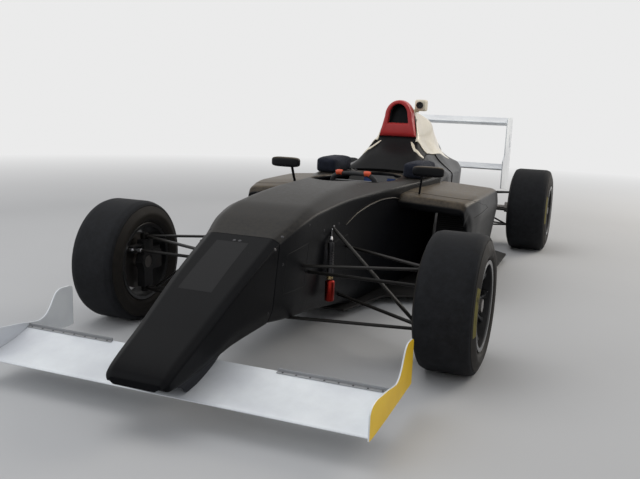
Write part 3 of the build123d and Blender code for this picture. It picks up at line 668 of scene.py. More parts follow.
# Place along the car, then half width and height of base, flank, waist, foot of the spine, its side and
# its shoulder, then the top's height.
COVER_ROWS = (
    (0.27, 0.338, 0.520, 0.342, 0.570, 0.270, 0.603, 0.180, 0.612, 0.120, 0.616, 0.070, 0.618, 0.620),
    (0.36, 0.336, 0.500, 0.340, 0.585, 0.235, 0.628, 0.160, 0.668, 0.122, 0.682, 0.080, 0.688, 0.690),
    (0.54, 0.330, 0.500, 0.332, 0.598, 0.215, 0.660, 0.134, 0.782, 0.120, 0.798, 0.085, 0.804, 0.806),
    (0.585, 0.322, 0.500, 0.325, 0.592, 0.212, 0.660, 0.130, 0.780, 0.096, 0.905, 0.068, 0.975, 1.017),
    (0.72, 0.304, 0.490, 0.307, 0.581, 0.204, 0.652, 0.126, 0.758, 0.092, 0.892, 0.072, 0.946, 0.982),
    (1.005, 0.268, 0.470, 0.272, 0.560, 0.192, 0.642, 0.120, 0.736, 0.096, 0.850, 0.086, 0.890, 0.916),
    (1.15, 0.253, 0.458, 0.257, 0.552, 0.186, 0.624, 0.116, 0.700, 0.088, 0.790, 0.074, 0.831, 0.854),
    (1.36, 0.232, 0.441, 0.238, 0.542, 0.184, 0.600, 0.112, 0.652, 0.073, 0.706, 0.059, 0.749, 0.769),
    (1.575, 0.198, 0.433, 0.204, 0.548, 0.176, 0.592, 0.116, 0.614, 0.058, 0.642, 0.045, 0.669, 0.685),
    (1.64, 0.186, 0.431, 0.192, 0.530, 0.164, 0.574, 0.112, 0.592, 0.058, 0.600, 0.030, 0.602, 0.603),
    (1.77, 0.148, 0.425, 0.152, 0.490, 0.130, 0.526, 0.086, 0.541, 0.045, 0.547, 0.022, 0.548, 0.549),
)
# Share of the sidepod's length, flank x, flank z, shoulder z.
SIDEPOD_ROWS = (
    (0.000, 0.600, 0.425, 0.520),
    (0.030, 0.618, 0.427, 0.533),
    (0.160, 0.648, 0.440, 0.548),
    (0.425, 0.655, 0.450, 0.548),
    (0.680, 0.612, 0.430, 0.476),
    (1.000, 0.370, 0.390, 0.425),
)
# Share of the front end plate's length, low edge, high edge.
END_PLATE_ROWS = (
    (0.0, 0.080, 0.158), (0.02, 0.079, 0.170), (0.06, 0.078, 0.179), (0.12, 0.078, 0.182),
    (0.25, 0.079, 0.176), (0.40, 0.080, 0.168), (0.50, 0.082, 0.160), (0.58, 0.083, 0.156),
    (0.65, 0.084, 0.164), (0.71, 0.085, 0.188), (0.755, 0.086, 0.218), (0.80, 0.087, 0.243),
    (0.86, 0.088, 0.253), (0.95, 0.089, 0.252), (0.985, 0.090, 0.247), (1.0, 0.092, 0.236),
)


class RacingCarSizes(bpy.types.PropertyGroup):
    """Sizes that a user would change, in the frame's own places."""
    nose_y: FloatProperty(name="Nose", description="Front end of the nose", default=CAD_BOX[0][1],
                          unit="LENGTH")
    tub_front_y: FloatProperty(name="Tub front", description="Joint of nose and tub",
                               default=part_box("nose_cone")[1][1], unit="LENGTH")
    tub_rear_y: FloatProperty(name="Tub rear", description="Rear end of the tub",
                              default=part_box("monocoque")[1][1], unit="LENGTH")
    tub_wall: FloatProperty(name="Tub wall", description="Thickness of the tub's wall", default=0.022,
                            unit="LENGTH")
    spokes: IntProperty(name="Spokes", description="Spokes of a wheel", default=10)
    tyre_steps: IntProperty(name="Tyre steps", description="Faces round a tyre", default=144)


class RacingCarColours(bpy.types.PropertyGroup):
    """Colours of the painted panels."""
    body: FloatVectorProperty(name="Body", description="Nose, tub and sidepods", subtype="COLOR",
                              default=(0.0048, 0.0051, 0.0062), min=0, max=1)
    wings: FloatVectorProperty(name="Wings", description="Wings and end plates", subtype="COLOR",
                               default=(0.83, 0.86, 0.91), min=0, max=1)
    plate: FloatVectorProperty(name="Left end plate", description="Outer face of the left front end plate",
                               subtype="COLOR", default=(0.95, 0.58, 0.02), min=0, max=1)
    # The cover's cream is partly its warm white paint and partly painted warm light of a low sun.
    cover: FloatVectorProperty(name="Engine cover", description="Front part of the engine cover",
                               subtype="COLOR", default=(0.80, 0.72, 0.56), min=0, max=1)
    airbox: FloatVectorProperty(name="Airbox", description="Frame of the airbox", subtype="COLOR",
                                default=(0.50, 0.036, 0.036), min=0, max=1)


# Surfaces shared by several pieces

def hull_half(columns, inset):
    """The left half of a hull section from its bottom middle to its top middle, as x and z."""
    z_floor, z_keel, crease, z_crease, z_top = np.moveaxis(columns, -1, 0)
    # How far the flank and the bilge lean inward for their height, and how the top rises for its width.
    flank_lean, bilge_lean, top_slope = 0.09, 0.40, 0.50
    keel = crease - (z_crease - z_keel) * flank_lean
    floor = keel - (z_keel - z_floor) * bilge_lean
    top = crease - (z_top - z_crease) / top_slope
    x = stacked(0, floor - inset, keel - inset, crease - inset, top - inset / 2, 0)
    z = stacked(z_floor + inset, z_floor + inset, z_keel + inset / 2, z_crease - inset / 2,
                z_top - inset, z_top - inset)
    return stacked(x, z)


def hull_grid(rows, y0, y1, stations, reach, samples, inset=0.0, end=(0.0, 0.0)):
    """A half hull as a grid: rows along the car, columns from the bottom middle over the flank to the top.
    The ends draw in by a quarter circle of the given radius over their last stretch."""
    y = y0 + (y1 - y0) * stations
    half = rounded(hull_half(through(rows, (y - y0) / (y1 - y0)), inset), reach, samples)
    middle = half.mean(axis=1, keepdims=True) * (0, 1)
    for radius, away in ((end[0], y - y0), (end[1], y1 - y)):
        if radius:
            part = np.clip(1 - away / radius, 0, 1)
            pull = radius * (1 - np.sqrt(1 - part ** 2))
            size = np.abs(half - middle).max(axis=1, keepdims=True)
            half = middle + (half - middle) * (1 - pull[:, None, None] / size)
    return stood(half, y)


def stood(sections, y):
    """Sections of x and z, each set up at its place along the car."""
    return stacked(sections[..., 0], y[:, None], sections[..., 1])


def offset(sections, distance):
    """Sections of x and z moved across their own line."""
    way = np.gradient(sections, axis=1)
    out = stacked(way[..., 1], -way[..., 0])
    out /= np.linalg.norm(out, axis=-1, keepdims=True) + TINY
    return sections + out * distance


def whole(half):
    """A half grid and its mirror image as one closed loop of columns."""
    return np.concatenate([half, half[:, -2:0:-1] * (-1, 1, 1)], axis=1)


def perch(grid, row, column):
    """A point of a grid at shares of its rows and columns, and the way that the surface faces there."""
    i = int(round(row * (grid.shape[0] - 2)))
    j = int(round(column * (grid.shape[1] - 2)))
    return grid[i, j], unit(np.cross(grid[i + 1, j] - grid[i, j], grid[i, j + 1] - grid[i, j]))


def fasteners(name, grid, places):
    """Small screw heads at shares of a grid's rows and columns, on both sides of the car."""
    radius, height, sides = 0.0042, 0.0014, 24
    heads = [bolt(*perch(grid, row, column), radius, height, sides) for row, column in places]
    piece(name, "steel", [both(*heads)], finish=("steel_dark",))


def foil(nose, tail, thickness, camber):
    """A wing section as a closed loop of y and z: half thickness grows with the root of the distance
    from its nose and closes to a thin tail, and the camber line hangs below the chord as a parabola."""
    t = (1 - np.cos(np.linspace(0, pi, 24))) / 2
    half = thickness * (1.48 * np.sqrt(t) - 0.63 * t - 1.76 * t ** 2 + 1.42 * t ** 3 - 0.51 * t ** 4)
    half += 0.001 * t
    nose, tail = np.asarray(nose, float), np.asarray(tail, float)
    chord = tail - nose
    across = unit(np.array([-chord[1], chord[0]]))
    line = nose + t[:, None] * chord - across * (4 * camber * t * (1 - t))[:, None]
    return np.concatenate([line + across * half[:, None], (line - across * half[:, None])[-1:0:-1]])


def plane(loop, half):
    """A wing's plane: a loop of y and z carried along X over a half span on both sides."""
    stations = 25
    return tube(stacked(np.linspace(-half, half, stations)[:, None], *loop.T))


# Operators

class RACECAR_OT_stage(bpy.types.Operator):
    """Floor, soft lamps and the camera at the photograph's angle"""
    bl_idname = "racecar.stage"
    bl_label = "Stage"

    def seen(self, tree):
        """One for rays that the camera, a gloss or a clear lens sends out."""
        path = tree.nodes.new("ShaderNodeLightPath")
        total = path.outputs["Is Camera Ray"]
        for name in ("Is Glossy Ray", "Is Transmission Ray"):
            larger = tree.nodes.new("ShaderNodeMath")
            larger.operation = "MAXIMUM"
            tree.links.new(total, larger.inputs[0])
            tree.links.new(path.outputs[name], larger.inputs[1])
            total = larger.outputs[0]
        return total

    def execute(self, context):
        scene = context.scene
        scene.view_settings.view_transform = "Standard"
        # The floor fades into the pale background with its distance from the car.
        pale = (0.83, 0.83, 0.83)
        fade_start, fade_end = 3.5, 9.0
        side, front, rear = 14.0, -14.0, 20.0
        r = Recipe("studio_floor", (0.56, 0.56, 0.56), 0.85, level=0.2)
        r.paint(r.mix(r.noise(0.8, 3), (0.54, 0.54, 0.54), (0.58, 0.58, 0.58)))
        far = r.add("ShaderNodeVectorMath", {0: r.place}, operation="LENGTH").outputs["Value"]
        seen = r.times(r.span(far, fade_start, fade_end), self.seen(r.tree))
        glow = r.add("ShaderNodeEmission", {"Color": (*pale, 1), "Strength": 1.0})
        blend = r.add("ShaderNodeMixShader", {0: seen, 1: r.shader.outputs[0], 2: glow.outputs[0]})
        r.tree.links.new(blend.outputs[0], r.tree.nodes["Material Output"].inputs["Surface"])
        mesh = bpy.data.meshes.new("studio_floor")
        corners = [(x, y, 0) for y in (front, rear) for x in (-side, side)]
        mesh.from_pydata(corners, [], [[0, 1, 3, 2]])
        mesh.materials.append(r.material)
        floor = bpy.data.objects.new("studio_floor", mesh)
        scene.collection.objects.link(floor)

        world = bpy.data.worlds.new("studio")
        world.use_nodes = True
        scene.world = world
        tree = world.node_tree
        back = tree.nodes["Background"]
        shown = tree.nodes.new("ShaderNodeBackground")
        for node, strength, colour in ((back, 0.52, (0.88, 0.90, 0.94)), (shown, 1.0, pale)):
            node.inputs["Strength"].default_value = strength
            node.inputs["Color"].default_value = (*colour, 1)
        choose = tree.nodes.new("ShaderNodeMixShader")
        for socket, number in ((self.seen(tree), 0), (back.outputs[0], 1), (shown.outputs[0], 2)):
            tree.links.new(socket, choose.inputs[number])
        tree.links.new(choose.outputs[0], tree.nodes["World Output"].inputs[0])

        for name, place, target, size, power, colour in (
            ("lamp_rear_left", (4.5, 5.0, 4.0), (0, 0.3, 0.3), 4.0, 200, (1.0, 0.93, 0.82)),
            ("lamp_overhead", (-1.5, -1.0, 5.5), (0, 0, 0.2), 4.5, 80, (1.0, 1.0, 1.0)),
            ("lamp_front_right", (-4.5, -5.0, 3.0), (0, -0.5, 0.3), 4.0, 70, (0.92, 0.96, 1.0)),
        ):
            data = bpy.data.lights.new(name, "AREA")
            data.size = size
            data.energy = power
            data.color = colour
            lamp = bpy.data.objects.new(name, data)
            lamp.location = place
            lamp.rotation_euler = (Vector(place) - Vector(target)).to_track_quat("Z", "Y").to_euler()
            scene.collection.objects.link(lamp)

        # The camera's eye and angles were solved from the photograph.
        eye = (1.2468, -3.8903, 1.0075)
        yaw, pitch, roll = radians(-21.42), radians(10.75), radians(2.09)
        forward = Vector((sin(yaw) * cos(pitch), cos(yaw) * cos(pitch), -sin(pitch)))
        level = Vector((cos(yaw), -sin(yaw), 0))
        above = level.cross(forward)
        right = level * cos(roll) + above * sin(roll)
        up = above * cos(roll) - level * sin(roll)
        data = bpy.data.cameras.new("camera")
        data.sensor_fit = "HORIZONTAL"
        data.sensor_width = 36
        data.lens = 41.25
        camera = bpy.data.objects.new("camera", data)
        rows = [(right[k], up[k], -forward[k], eye[k]) for k in range(3)]
        camera.matrix_world = Matrix((*rows, (0, 0, 0, 1)))
        scene.collection.objects.link(camera)
        scene.camera = camera
        return {"FINISHED"}


class RACECAR_OT_nose(bpy.types.Operator):
    """Wedge nose with a rounded tip, its fasteners and the plates down to the front wing"""
    bl_idname = "racecar.nose"
    bl_label = "Nose"

    def execute(self, context):
        sizes = context.scene.racing_car_sizes
        tip = 0.035
        stations = np.concatenate([1 - np.cos(np.linspace(0, pi / 2, 12)[:-1]), [1]]) * tip
        stations = np.concatenate([stations, np.linspace(tip, 0.995, 46)[1:], [0.998, 1.0]])
        half = hull_grid(NOSE_ROWS, sizes.nose_y, sizes.tub_front_y - NOSE_GAP, stations,
                         (0, 0.02, 0.03, 0.010, 0.014, 0), 56, end=(0.022, 0.0015))
        piece("nose_shell", "nose_black", [tube(whole(half))], replaces=["nose_cone"])
        fasteners("nose_fasteners", half, ((0.95, 0.40), (0.95, 0.60), (0.95, 0.93)))

        # A faded rectangle on the slope, left by a film that was peeled off.
        across = np.linspace(-0.078, 0.052, 27)
        nose_start, nose_end = half[0, 0, 1], half[-1, 0, 1]
        rows = []
        for y in np.linspace(-1.780, -1.566, 30):
            share = (y - nose_start) / (nose_end - nose_start)
            line = sampled(half, np.full(200, share), np.linspace(0.5, 1, 200))
            rows.append([(x, line[0, 1], np.interp(abs(x), line[::-1, 0], line[::-1, 2])) for x in across])
        above_paint = (0, 0, 0.0003)
        piece("nose_patch", "nose_black", [lattice(np.array(rows) + above_paint)], finish=("patch_black",))

        (_, y0, z0), (_, y1, z1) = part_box("front_wing_pylons")
        x = 0.092
        outline = [(x, y, z) for y, z in ((y0, z0 + 0.004), (y1 - 0.09, z0 + 0.016), (y1, z1 - 0.002),
                                          (y0 - 0.104, z1 - 0.003), (y0 - 0.020, z0 + 0.026))]
        plates = both(slab(outline, 0.012, 0.010, 72, 0.003))
        piece("nose_plates", "nose_black", [plates], replaces=["front_wing_pylons"], finish=("plate_grey",))
        return {"FINISHED"}


class RACECAR_OT_tub(bpy.types.Operator):
    """Tub with its cockpit opening, rolled rim, hatch lines and fasteners"""
    bl_idname = "racecar.tub"
    bl_label = "Tub"

    def execute(self, context):
        sizes = context.scene.racing_car_sizes
        y0, y1, wall = sizes.tub_front_y + NOSE_GAP, sizes.tub_rear_y, sizes.tub_wall
        # The cockpit's opening runs from front to rear and has blunt ends.
        front, rear = -0.64, 0.235
        share = spaced(90, 1.0)
        opening_y = front + (rear - front) * share
        blunt = (1 - np.abs(2 * share - 1) ** 5) ** (1 / 2.2)
        opening = through(COCKPIT_ROWS, share)[:, 0] * blunt
        ahead = y0 + (front - y0) * np.concatenate([[0, 0.001, 0.002], np.linspace(0.004, 1, 60)])[:-1]
        behind = np.linspace(rear, y1, 6)[1:]
        y = np.concatenate([ahead, opening_y, behind])
        width = np.concatenate([0 * ahead, opening, 0 * behind])

        def trimmed(y, width, inset):
            """Half sections cut off at the opening's edge, sampled a little more closely near it."""
            grid = hull_grid(TUB_ROWS, y0, y1, (y - y0) / (y1 - y0), (0, 0.04, 0.05, 0.022, 0.05, 0),
                             240, inset, (0.0015, 0))
            rows = []
            for line, edge in zip(grid, width):
                top = np.argmax(line[:, 0])
                stop = np.interp(-edge, -line[top:, 0], np.arange(top, len(line)))
                keep = np.linspace(0, 1, 72) ** 0.85 * stop
                rows.append([np.interp(keep, np.arange(len(line)), line[:, k]) for k in range(3)])
            return np.array(rows).swapaxes(1, 2)

        outer = trimmed(y, width, 0.0)
        inner_ahead = np.linspace(y0 + wall, front, 24)[:-1]
        inner_y = np.concatenate([inner_ahead, opening_y, np.linspace(rear, y1 - 0.012, 3)[1:]])
        inner_width = np.concatenate([0 * inner_ahead, opening, (0, 0)])
        inner = trimmed(inner_y, inner_width, wall)
        lip_out = outer[len(ahead):len(ahead) + len(opening_y), -1]
        lip_in = inner[len(inner_ahead):len(inner_ahead) + len(opening_y), -1]
        # Between the skin and the lining the rim rolls inward over the opening by up to a centimetre.
        turn = np.linspace(0, pi, 9)[:, None, None]
        lip = (lip_out + (lip_in - lip_out) * (1 - np.cos(turn)) / 2
               - np.sin(turn) * np.minimum(0.010, lip_out[:, :1] * 0.9)[None] * (1, 0, 0))

        def ends(grid):
            """Flat faces over the first and the last section."""
            return joined(lattice(whole(grid[:1].repeat(2, 0)), closed_v=True, caps=("start",)),
                          lattice(whole(grid[-1:].repeat(2, 0)), closed_v=True, caps=("end",)))

        piece("tub_shell", "tub_black",
              [both(lattice(outer)), ends(outer), marked(both(lattice(lip)), 1),
               marked(both(lattice(inner)), 2), marked(ends(inner), 2)],
              replaces=["monocoque"], finish=("tub_black", "sidepod_black", "carbon"))

        fasteners("tub_fasteners", outer,
                  ((0.035, 0.45), (0.035, 0.62), (0.10, 0.50), (0.17, 0.47), (0.24, 0.47)))

        def flank(points, proud):
            """Points that stand a little proud of the tub's left side, for pairs of y and z."""
            line_y = outer[:, 0, 1]
            floor_columns = 8
            found = []
            for y, z in points:
                i = int(np.clip(np.searchsorted(line_y, y), 1, len(line_y) - 1))
                part = (y - line_y[i - 1]) / (line_y[i] - line_y[i - 1])
                line = outer[i - 1] * (1 - part) + outer[i] * part
                rise = slice(floor_columns, int(np.argmax(line[:, 0])) + 1)
                found.append((np.interp(z, line[rise, 2], line[rise, 0]) + proud, y, z))
            return np.array(found)

        # Fine gaps round two hatches, and a moulding that follows the cockpit's side.
        lines = []
        for loop in ([(-1.455, 0.285), (-1.455, 0.440), (-1.300, 0.462), (-1.300, 0.285)],
                     [(-1.050, 0.235), (-1.050, 0.420), (-0.870, 0.430), (-0.870, 0.235)]):
            edge = rounded(loop, 0.02, 72, closed=True)
            path = flank(np.concatenate([edge, edge[:1]]), 0.0001)
            lines.append(swept(path, 0.0009, 0.0007, 6, up=(1, 0, 0)))
        piece("hatch_lines", "tub_black", [both(*lines)], finish=("gap_black",))
        arc = rounded([(-0.92, 0.478), (-0.80, 0.514), (-0.66, 0.534), (-0.50, 0.545), (-0.36, 0.540),
                       (-0.24, 0.515), (-0.13, 0.470)], 0.12, 60)
        swell = np.sin(np.linspace(0.05, pi - 0.05, 60)) ** 0.4
        bead = swept(flank(arc, 0.001), 0.0055 * swell, 0.0045 * swell, 14, up=(1, 0, 0))
        piece("flank_moulding", "tub_black", [both(bead)], finish=("sidepod_black",))
        return {"FINISHED"}


class RACECAR_OT_airbox(bpy.types.Operator):
    """Red frame round the air intake and the duct behind it"""
    bl_idname = "racecar.airbox"
    bl_label = "Airbox"

    def execute(self, context):
        def arch(half_base, base, half_shoulder, shoulder, top):
            """A closed arch: flat foot, leaning sides and an elliptic crown."""
            turn = np.linspace(0, pi, 40)
            crown = stacked(half_shoulder * np.cos(turn), shoulder + (top - shoulder) * np.sin(turn))
            line = evenly(np.concatenate([crown, [(-half_base, base), (half_base, base)]]), 120, closed=True)
            return rounded(line, 0.01, 160, closed=True)

        outer = arch(0.118, 0.803, 0.088, 0.925, 1.026)
        intake = arch(0.063, 0.888, 0.056, 0.935, 1.002)
        # Share of the way from the intake to the outer edge, and place along the car.
        share, y = np.transpose([
            (-0.25, 0.70), (-0.12, 0.60), (-0.02, 0.560), (0.0, 0.540), (0.03, 0.529), (0.10, 0.522),
            (0.25, 0.520), (0.70, 0.5205), (0.86, 0.523), (0.96, 0.531), (1.0, 0.545), (1.0, 0.583)])
        share = share[:, None, None]
        grid = stood(intake * (1 - share) + outer * share, y)
        duct = lattice(grid[:4], closed_v=True, caps=("start",))
        frame_front = lattice(grid[3:], closed_v=True, caps=("end",))
        piece("airbox_frame", "airbox_red", [frame_front, marked(duct, 1)], replaces=["airbox"],
              finish=("airbox_red", "duct_black"))
        return {"FINISHED"}


class RACECAR_OT_cover(bpy.types.Operator):
    """Black bulkhead behind the head, pale engine cover with its spine and glossy rear part"""
    bl_idname = "racecar.cover"
    bl_label = "Engine cover"

    def execute(self, context):
        def body(y, lift=0.0):
            """Half sections from the base over waist and spine to the top, moved outward by lift."""
            value = through(COVER_ROWS, y)
            points = np.insert(value, 12, 0, axis=1).reshape(len(y), 7, 2)
            half = offset(rounded(points, (0, 0.03, 0.05, 0.06, 0.05, 0.03, 0), 160), lift)
            half[:, -1, 0] = 0
            return stood(half, y)

        # Shares round and along a panel, and the column at which the panels above the waist start.
        v = np.linspace(0, 1, 160)[None, :]
        u = np.linspace(0, 1, 50)[:, None]
        waist = 64

        def stretch(grid, start, end, columns):
            """Half of a panel between two edges, each a place along the car or one for each column."""
            y0, y1 = grid[0, 0, 1], grid[-1, 0, 1]
            shares = ((start + u * (end - start)) - y0) / (y1 - y0) + 0 * v
            return both(lattice(resample(grid, shares)[:, columns]))

        upper, lower = slice(waist, None), slice(0, waist)
        joint = np.interp(v, (0.40, 0.415, 0.43, 0.46, 0.655, 0.67),
                          (0.560, 0.530, 0.516, 0.506, 0.506, 0.580))
        front = body(np.linspace(0.27, 0.90, 120))
        cover = body(np.linspace(0.49, 1.77, 210), 0.004)
        piece("bulkhead", "tub_black",
              [stretch(front, 0.27, joint, upper), marked(stretch(front, 0.27, 0.82, lower), 1)],
              replaces=["rear_bulkhead"], finish=("bulkhead_black", "cover_black"), solid=0.004)
        piece("cover_front", "cover_white", [stretch(cover, joint + 0.008, 1.40, upper)],
              replaces=["engine_cover"], solid=0.005)
        piece("cover_rear", "cover_white",
              [stretch(cover, 1.404, 1.768, slice(waist - 1, None)), stretch(cover, 0.826, 1.768, lower)],
              finish=("cover_black",), solid=0.005)
        # A black sheet just inside the cover, seen through its joints, gives painted shade in the gaps.
        under = body(np.linspace(0.46, 1.75, 50), -0.008)
        piece("cover_lining", "cover_white", [both(lattice(under))], finish=("gap_black",))

        # A rolled lip curves from the foot of the frame to the ledge beside the head.
        path = rounded([(0.098, 0.512, 0.776), (0.121, 0.474, 0.751), (0.145, 0.440, 0.729),
                        (0.170, 0.436, 0.705), (0.192, 0.452, 0.688)], 0.03, 40)
        thin = np.sin(np.linspace(0.15, pi - 0.15, 40)) ** 0.5
        lip = swept(path, 0.0135 * thin, 0.0050 * thin, 16, 2.4, up=(0.5, -0.55, 0.67))
        piece("bulkhead_lip", "cover_white", [both(lip)])
        return {"FINISHED"}


class RACECAR_OT_sidepods(bpy.types.Operator):
    """Sidepods with thick rolled front lips, open inlets and tails"""
    bl_idname = "racecar.sidepods"
    bl_label = "Sidepods"

    def execute(self, context):
        (_, front, _), (_, rear, _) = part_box("sidepod_left")
        floor, inner, columns = 0.051, 0.214, 110

        def skin(y, depth=0.0):
            """Sections from the top's inner edge over the shoulder down to the floor, drawn in by depth."""
            flank_x, flank_z, shoulder_z = through(SIDEPOD_ROWS, (y - front) / (rear - front)).T
            floor_x = flank_x - (flank_z - floor) * 0.14
            shoulder_x = flank_x - (shoulder_z - flank_z) * 0.12
            x = stacked(inner, shoulder_x, flank_x, floor_x)
            z = stacked(shoulder_z + (shoulder_x - inner) * 0.07, shoulder_z, flank_z, floor)
            return stood(offset(rounded(stacked(x, z), (0, 0.075, 0.05, 0), columns), depth), y)

        # The lip: each column leaves the skin, turns over at the front and ends on the inlet's outline.
        v = np.linspace(0, 1, columns)
        rake = np.interp(v, (0, 0.40, 0.62, 1), (0.0, 0.004, 0.045, 0.150))
        along = np.linspace(front, rear, 240)
        outer, thin = skin(along), skin(along, 0.010)

        def at(grid, y):
            return resample(grid, (y - front) / (rear - front))

        steps = spaced(120, 0.7)[:, None]
        edge = front + rake
        outside_start, inside_start = edge + 0.085, edge + 0.060
        outside = at(outer, outside_start + steps * (rear - outside_start))
        mouth = rounded([(inner, 0.480), (0.588, 0.466), (0.592, 0.350), (0.552, floor)], (0, 0.10, 0.06, 0),
                        columns)

        def inlet(y):
            return stacked(mouth[:, 0], y, mouth[:, 1])

        fore = at(outer, (edge + 0.022)[None])[0]
        snout = fore * 0.5 + inlet(edge) * 0.5
        snout[:, 1] = edge - 0.016
        hull = [outside[0], fore - (0, 0.010, 0), snout, inlet(edge + 0.006), inlet(inside_start)]
        lip = rounded(np.stack(hull, axis=1), (0, 0.2, 0.2, 0.2, 0), 44).swapaxes(0, 1)[1:-1]
        inner_y = inside_start + steps * (rear - inside_start)
        fade = np.clip((inner_y - inside_start) / 0.30, 0, 1)
        fade = (fade * fade * (3 - 2 * fade))[..., None]
        inside = inlet(inner_y) * (1 - fade) + at(thin, inner_y) * fade
        shell = lattice(np.concatenate([outside[::-1], lip, inside]), closed_u=True, caps=("left", "right"))
        piece("sidepod_shell_left", "sidepod_black", [shell], replaces=["sidepod_left"])
        piece("sidepod_shell_right", "sidepod_black", [mirrored(shell)], replaces=["sidepod_right"])

        # The lip is a part of its own: a fine joint over the top and a wider one below its outer corner,
        # each a line of places along the car and shares round the section.
        joint = evenly(rounded([(-0.205, 0.13), (-0.205, 0.22), (-0.203, 0.29), (-0.165, 0.37), (-0.06, 0.43),
                                (0.02, 0.50), (0.085, 0.596)], 0.08, 80), 60)
        below = evenly([(0.085, 0.596), (-0.02, 0.600), (-0.12, 0.606), (-0.195, 0.612)], 40)
        lines = []
        for line, half in ((joint, 0.0010), (below, 0.0022)):
            path = sampled(outer, (line[:, 0] - front) / (rear - front), line[:, 1]) + (0, 0, 0.0002)
            lines.append(swept(path, half, 0.0008, 6))
        piece("sidepod_joints", "sidepod_black", [both(*lines)], finish=("gap_black",))
        return {"FINISHED"}


class RACECAR_OT_front_wing(bpy.types.Operator):
    """Front wing plane, bright tail strips and shaped end plates"""
    bl_idname = "racecar.front_wing"
    bl_label = "Front wing"

    def execute(self, context):
        low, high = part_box("front_wing")
        half, tail_y, tail_z = high[0], high[1], 0.149
        loop = foil((low[1], 0.088), (tail_y, tail_z), 0.020, 0.012)
        piece("wing_plane", "wing_white", [plane(loop, half)], replaces=["front_wing"])

        def strip(low_edge, high_edge, thickness):
            """A thin sheet between two edges, each a y and z, along the outer part of the tail."""
            start, end = 0.32, half - 0.001
            outline = [(start, *low_edge), (end, *low_edge), (end, *high_edge), (start, *high_edge)]
            return slab(outline, 0.002, thickness, 40, 0.0006)

        strips = [strip((tail_y, tail_z), (tail_y - 0.001, tail_z + 0.012), 0.003),
                  strip((tail_y - 0.012, tail_z - 0.0015), (tail_y, tail_z + 0.0015), 0.002)]
        rivets = [bolt((x, tail_y - 0.007, tail_z + 0.0005), (0, -0.2, 1), 0.0024, 0.0014, 16)
                  for x in np.linspace(0.34, half - 0.02, 8)]
        piece("wing_strips", "aluminium", [both(*strips), marked(both(*rivets), 1)],
              replaces=["front_wing_gurneys"], finish=("strip_grey", "steel_dark"))

        low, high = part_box("front_wing_endplates")
        share = spaced(60, 0.7)
        bounds = through(END_PLATE_ROWS, share)
        height = bounds[:, :1] + (bounds[:, 1:] - bounds[:, :1]) * np.linspace(0, 1, 14)
        grid = stacked(half + 0.001, (low[1] + (high[1] - low[1]) * share)[:, None], height)
        thickness = np.array((0.006, 0, 0))
        inner = lattice(grid)
        outer = lattice(grid + thickness)
        edge = np.concatenate([grid[0, :-1], grid[:-1, -1], grid[-1, :0:-1], grid[:0:-1, 0]])
        rim = lattice(np.stack([edge, edge + thickness / 2, edge + thickness]), closed_v=True)
        piece("end_plate_left", "endplate_white", [inner, marked(outer, 1), rim],
              replaces=["front_wing_endplates"], finish=("endplate_white", "endplate_yellow"), bevel=0.0015)
        piece("end_plate_right", "endplate_white", [mirrored(joined(inner, outer, rim))], bevel=0.0015)
        return {"FINISHED"}


class RACECAR_OT_rear_wing(bpy.types.Operator):
    """Rear wing planes, slotted end plates and their carriers"""
    bl_idname = "racecar.rear_wing"
    bl_label = "Rear wing"

    def execute(self, context):
        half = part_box("rear_wing_planes")[1][0]
        tail = 2.18
        upper = foil((tail - 0.280, 0.886), (tail - 0.018, 0.921), 0.030, 0.022)
        beam = foil((tail - 0.370, 0.541), (tail - 0.180, 0.565), 0.020, 0.012)
        planes = [plane(loop, half) for loop in (upper, beam)]
        piece("rear_planes", "wing_white", planes, replaces=["rear_wing_planes"])

        # Height, then places before the tail: front edge, both edges of each of two slots, rear edge.
        # The slots lean forward and are open between two of the heights.
        low_slots, high_slots = (0.118, 0.106, 0.084, 0.072), (0.148, 0.136, 0.114, 0.102)
        slot_foot, slot_top = 0.690, 0.790
        rows = np.array([
            (0.352, 0.030, 0.026, 0.024, 0.020, 0.016, 0.012),
            (0.394, 0.378, *low_slots, 0.001),
            (0.600, 0.378, *low_slots, 0.001),
            (0.640, 0.300, *low_slots, 0.001),
            (slot_foot, 0.298, *low_slots, 0.001),
            (slot_top, 0.294, *high_slots, 0.001),
            (0.915, 0.291, *high_slots, 0.001),
            (0.925, 0.280, *high_slots, 0.010),
        ])
        z = np.unique(np.concatenate([np.linspace(0.352, 0.925, 50), rows[:, 0]]))
        edges = [np.interp(z, rows[:, 0], tail - column)[:, None] for column in rows[:, 1:].T]
        columns = [edges[0]]
        for count, front, rear in zip((8, 2, 3, 2, 5), edges, edges[1:]):
            columns.append(front + (rear - front) * np.linspace(0, 1, count)[1:])
        y = np.concatenate(columns, axis=1)
        keep = np.ones((len(z) - 1, y.shape[1] - 1), bool)
        middle = (z[:-1] + z[1:]) / 2
        open_rows = (middle > slot_foot) & (middle < slot_top)
        for slot_column in (7, 10):
            keep[open_rows, slot_column] = False
        grid = stacked(half + 0.004, y, z[:, None])
        piece("rear_end_plates", "endplate_white", [both(lattice(grid, keep=keep))],
              replaces=["rear_wing_endplates"], solid=0.007, bevel=0.0012)

        leg = [(0.054, tail - before, z) for before, z in
               ((0.395, 0.330), (0.300, 0.330), (0.235, 0.548), (0.335, 0.545))]
        carrier = slab(leg, 0.02, 0.007, 64, 0.002)
        piece("rear_carriers", "carbon", [both(carrier)], replaces=["rear_wing_pylons"])
        return {"FINISHED"}


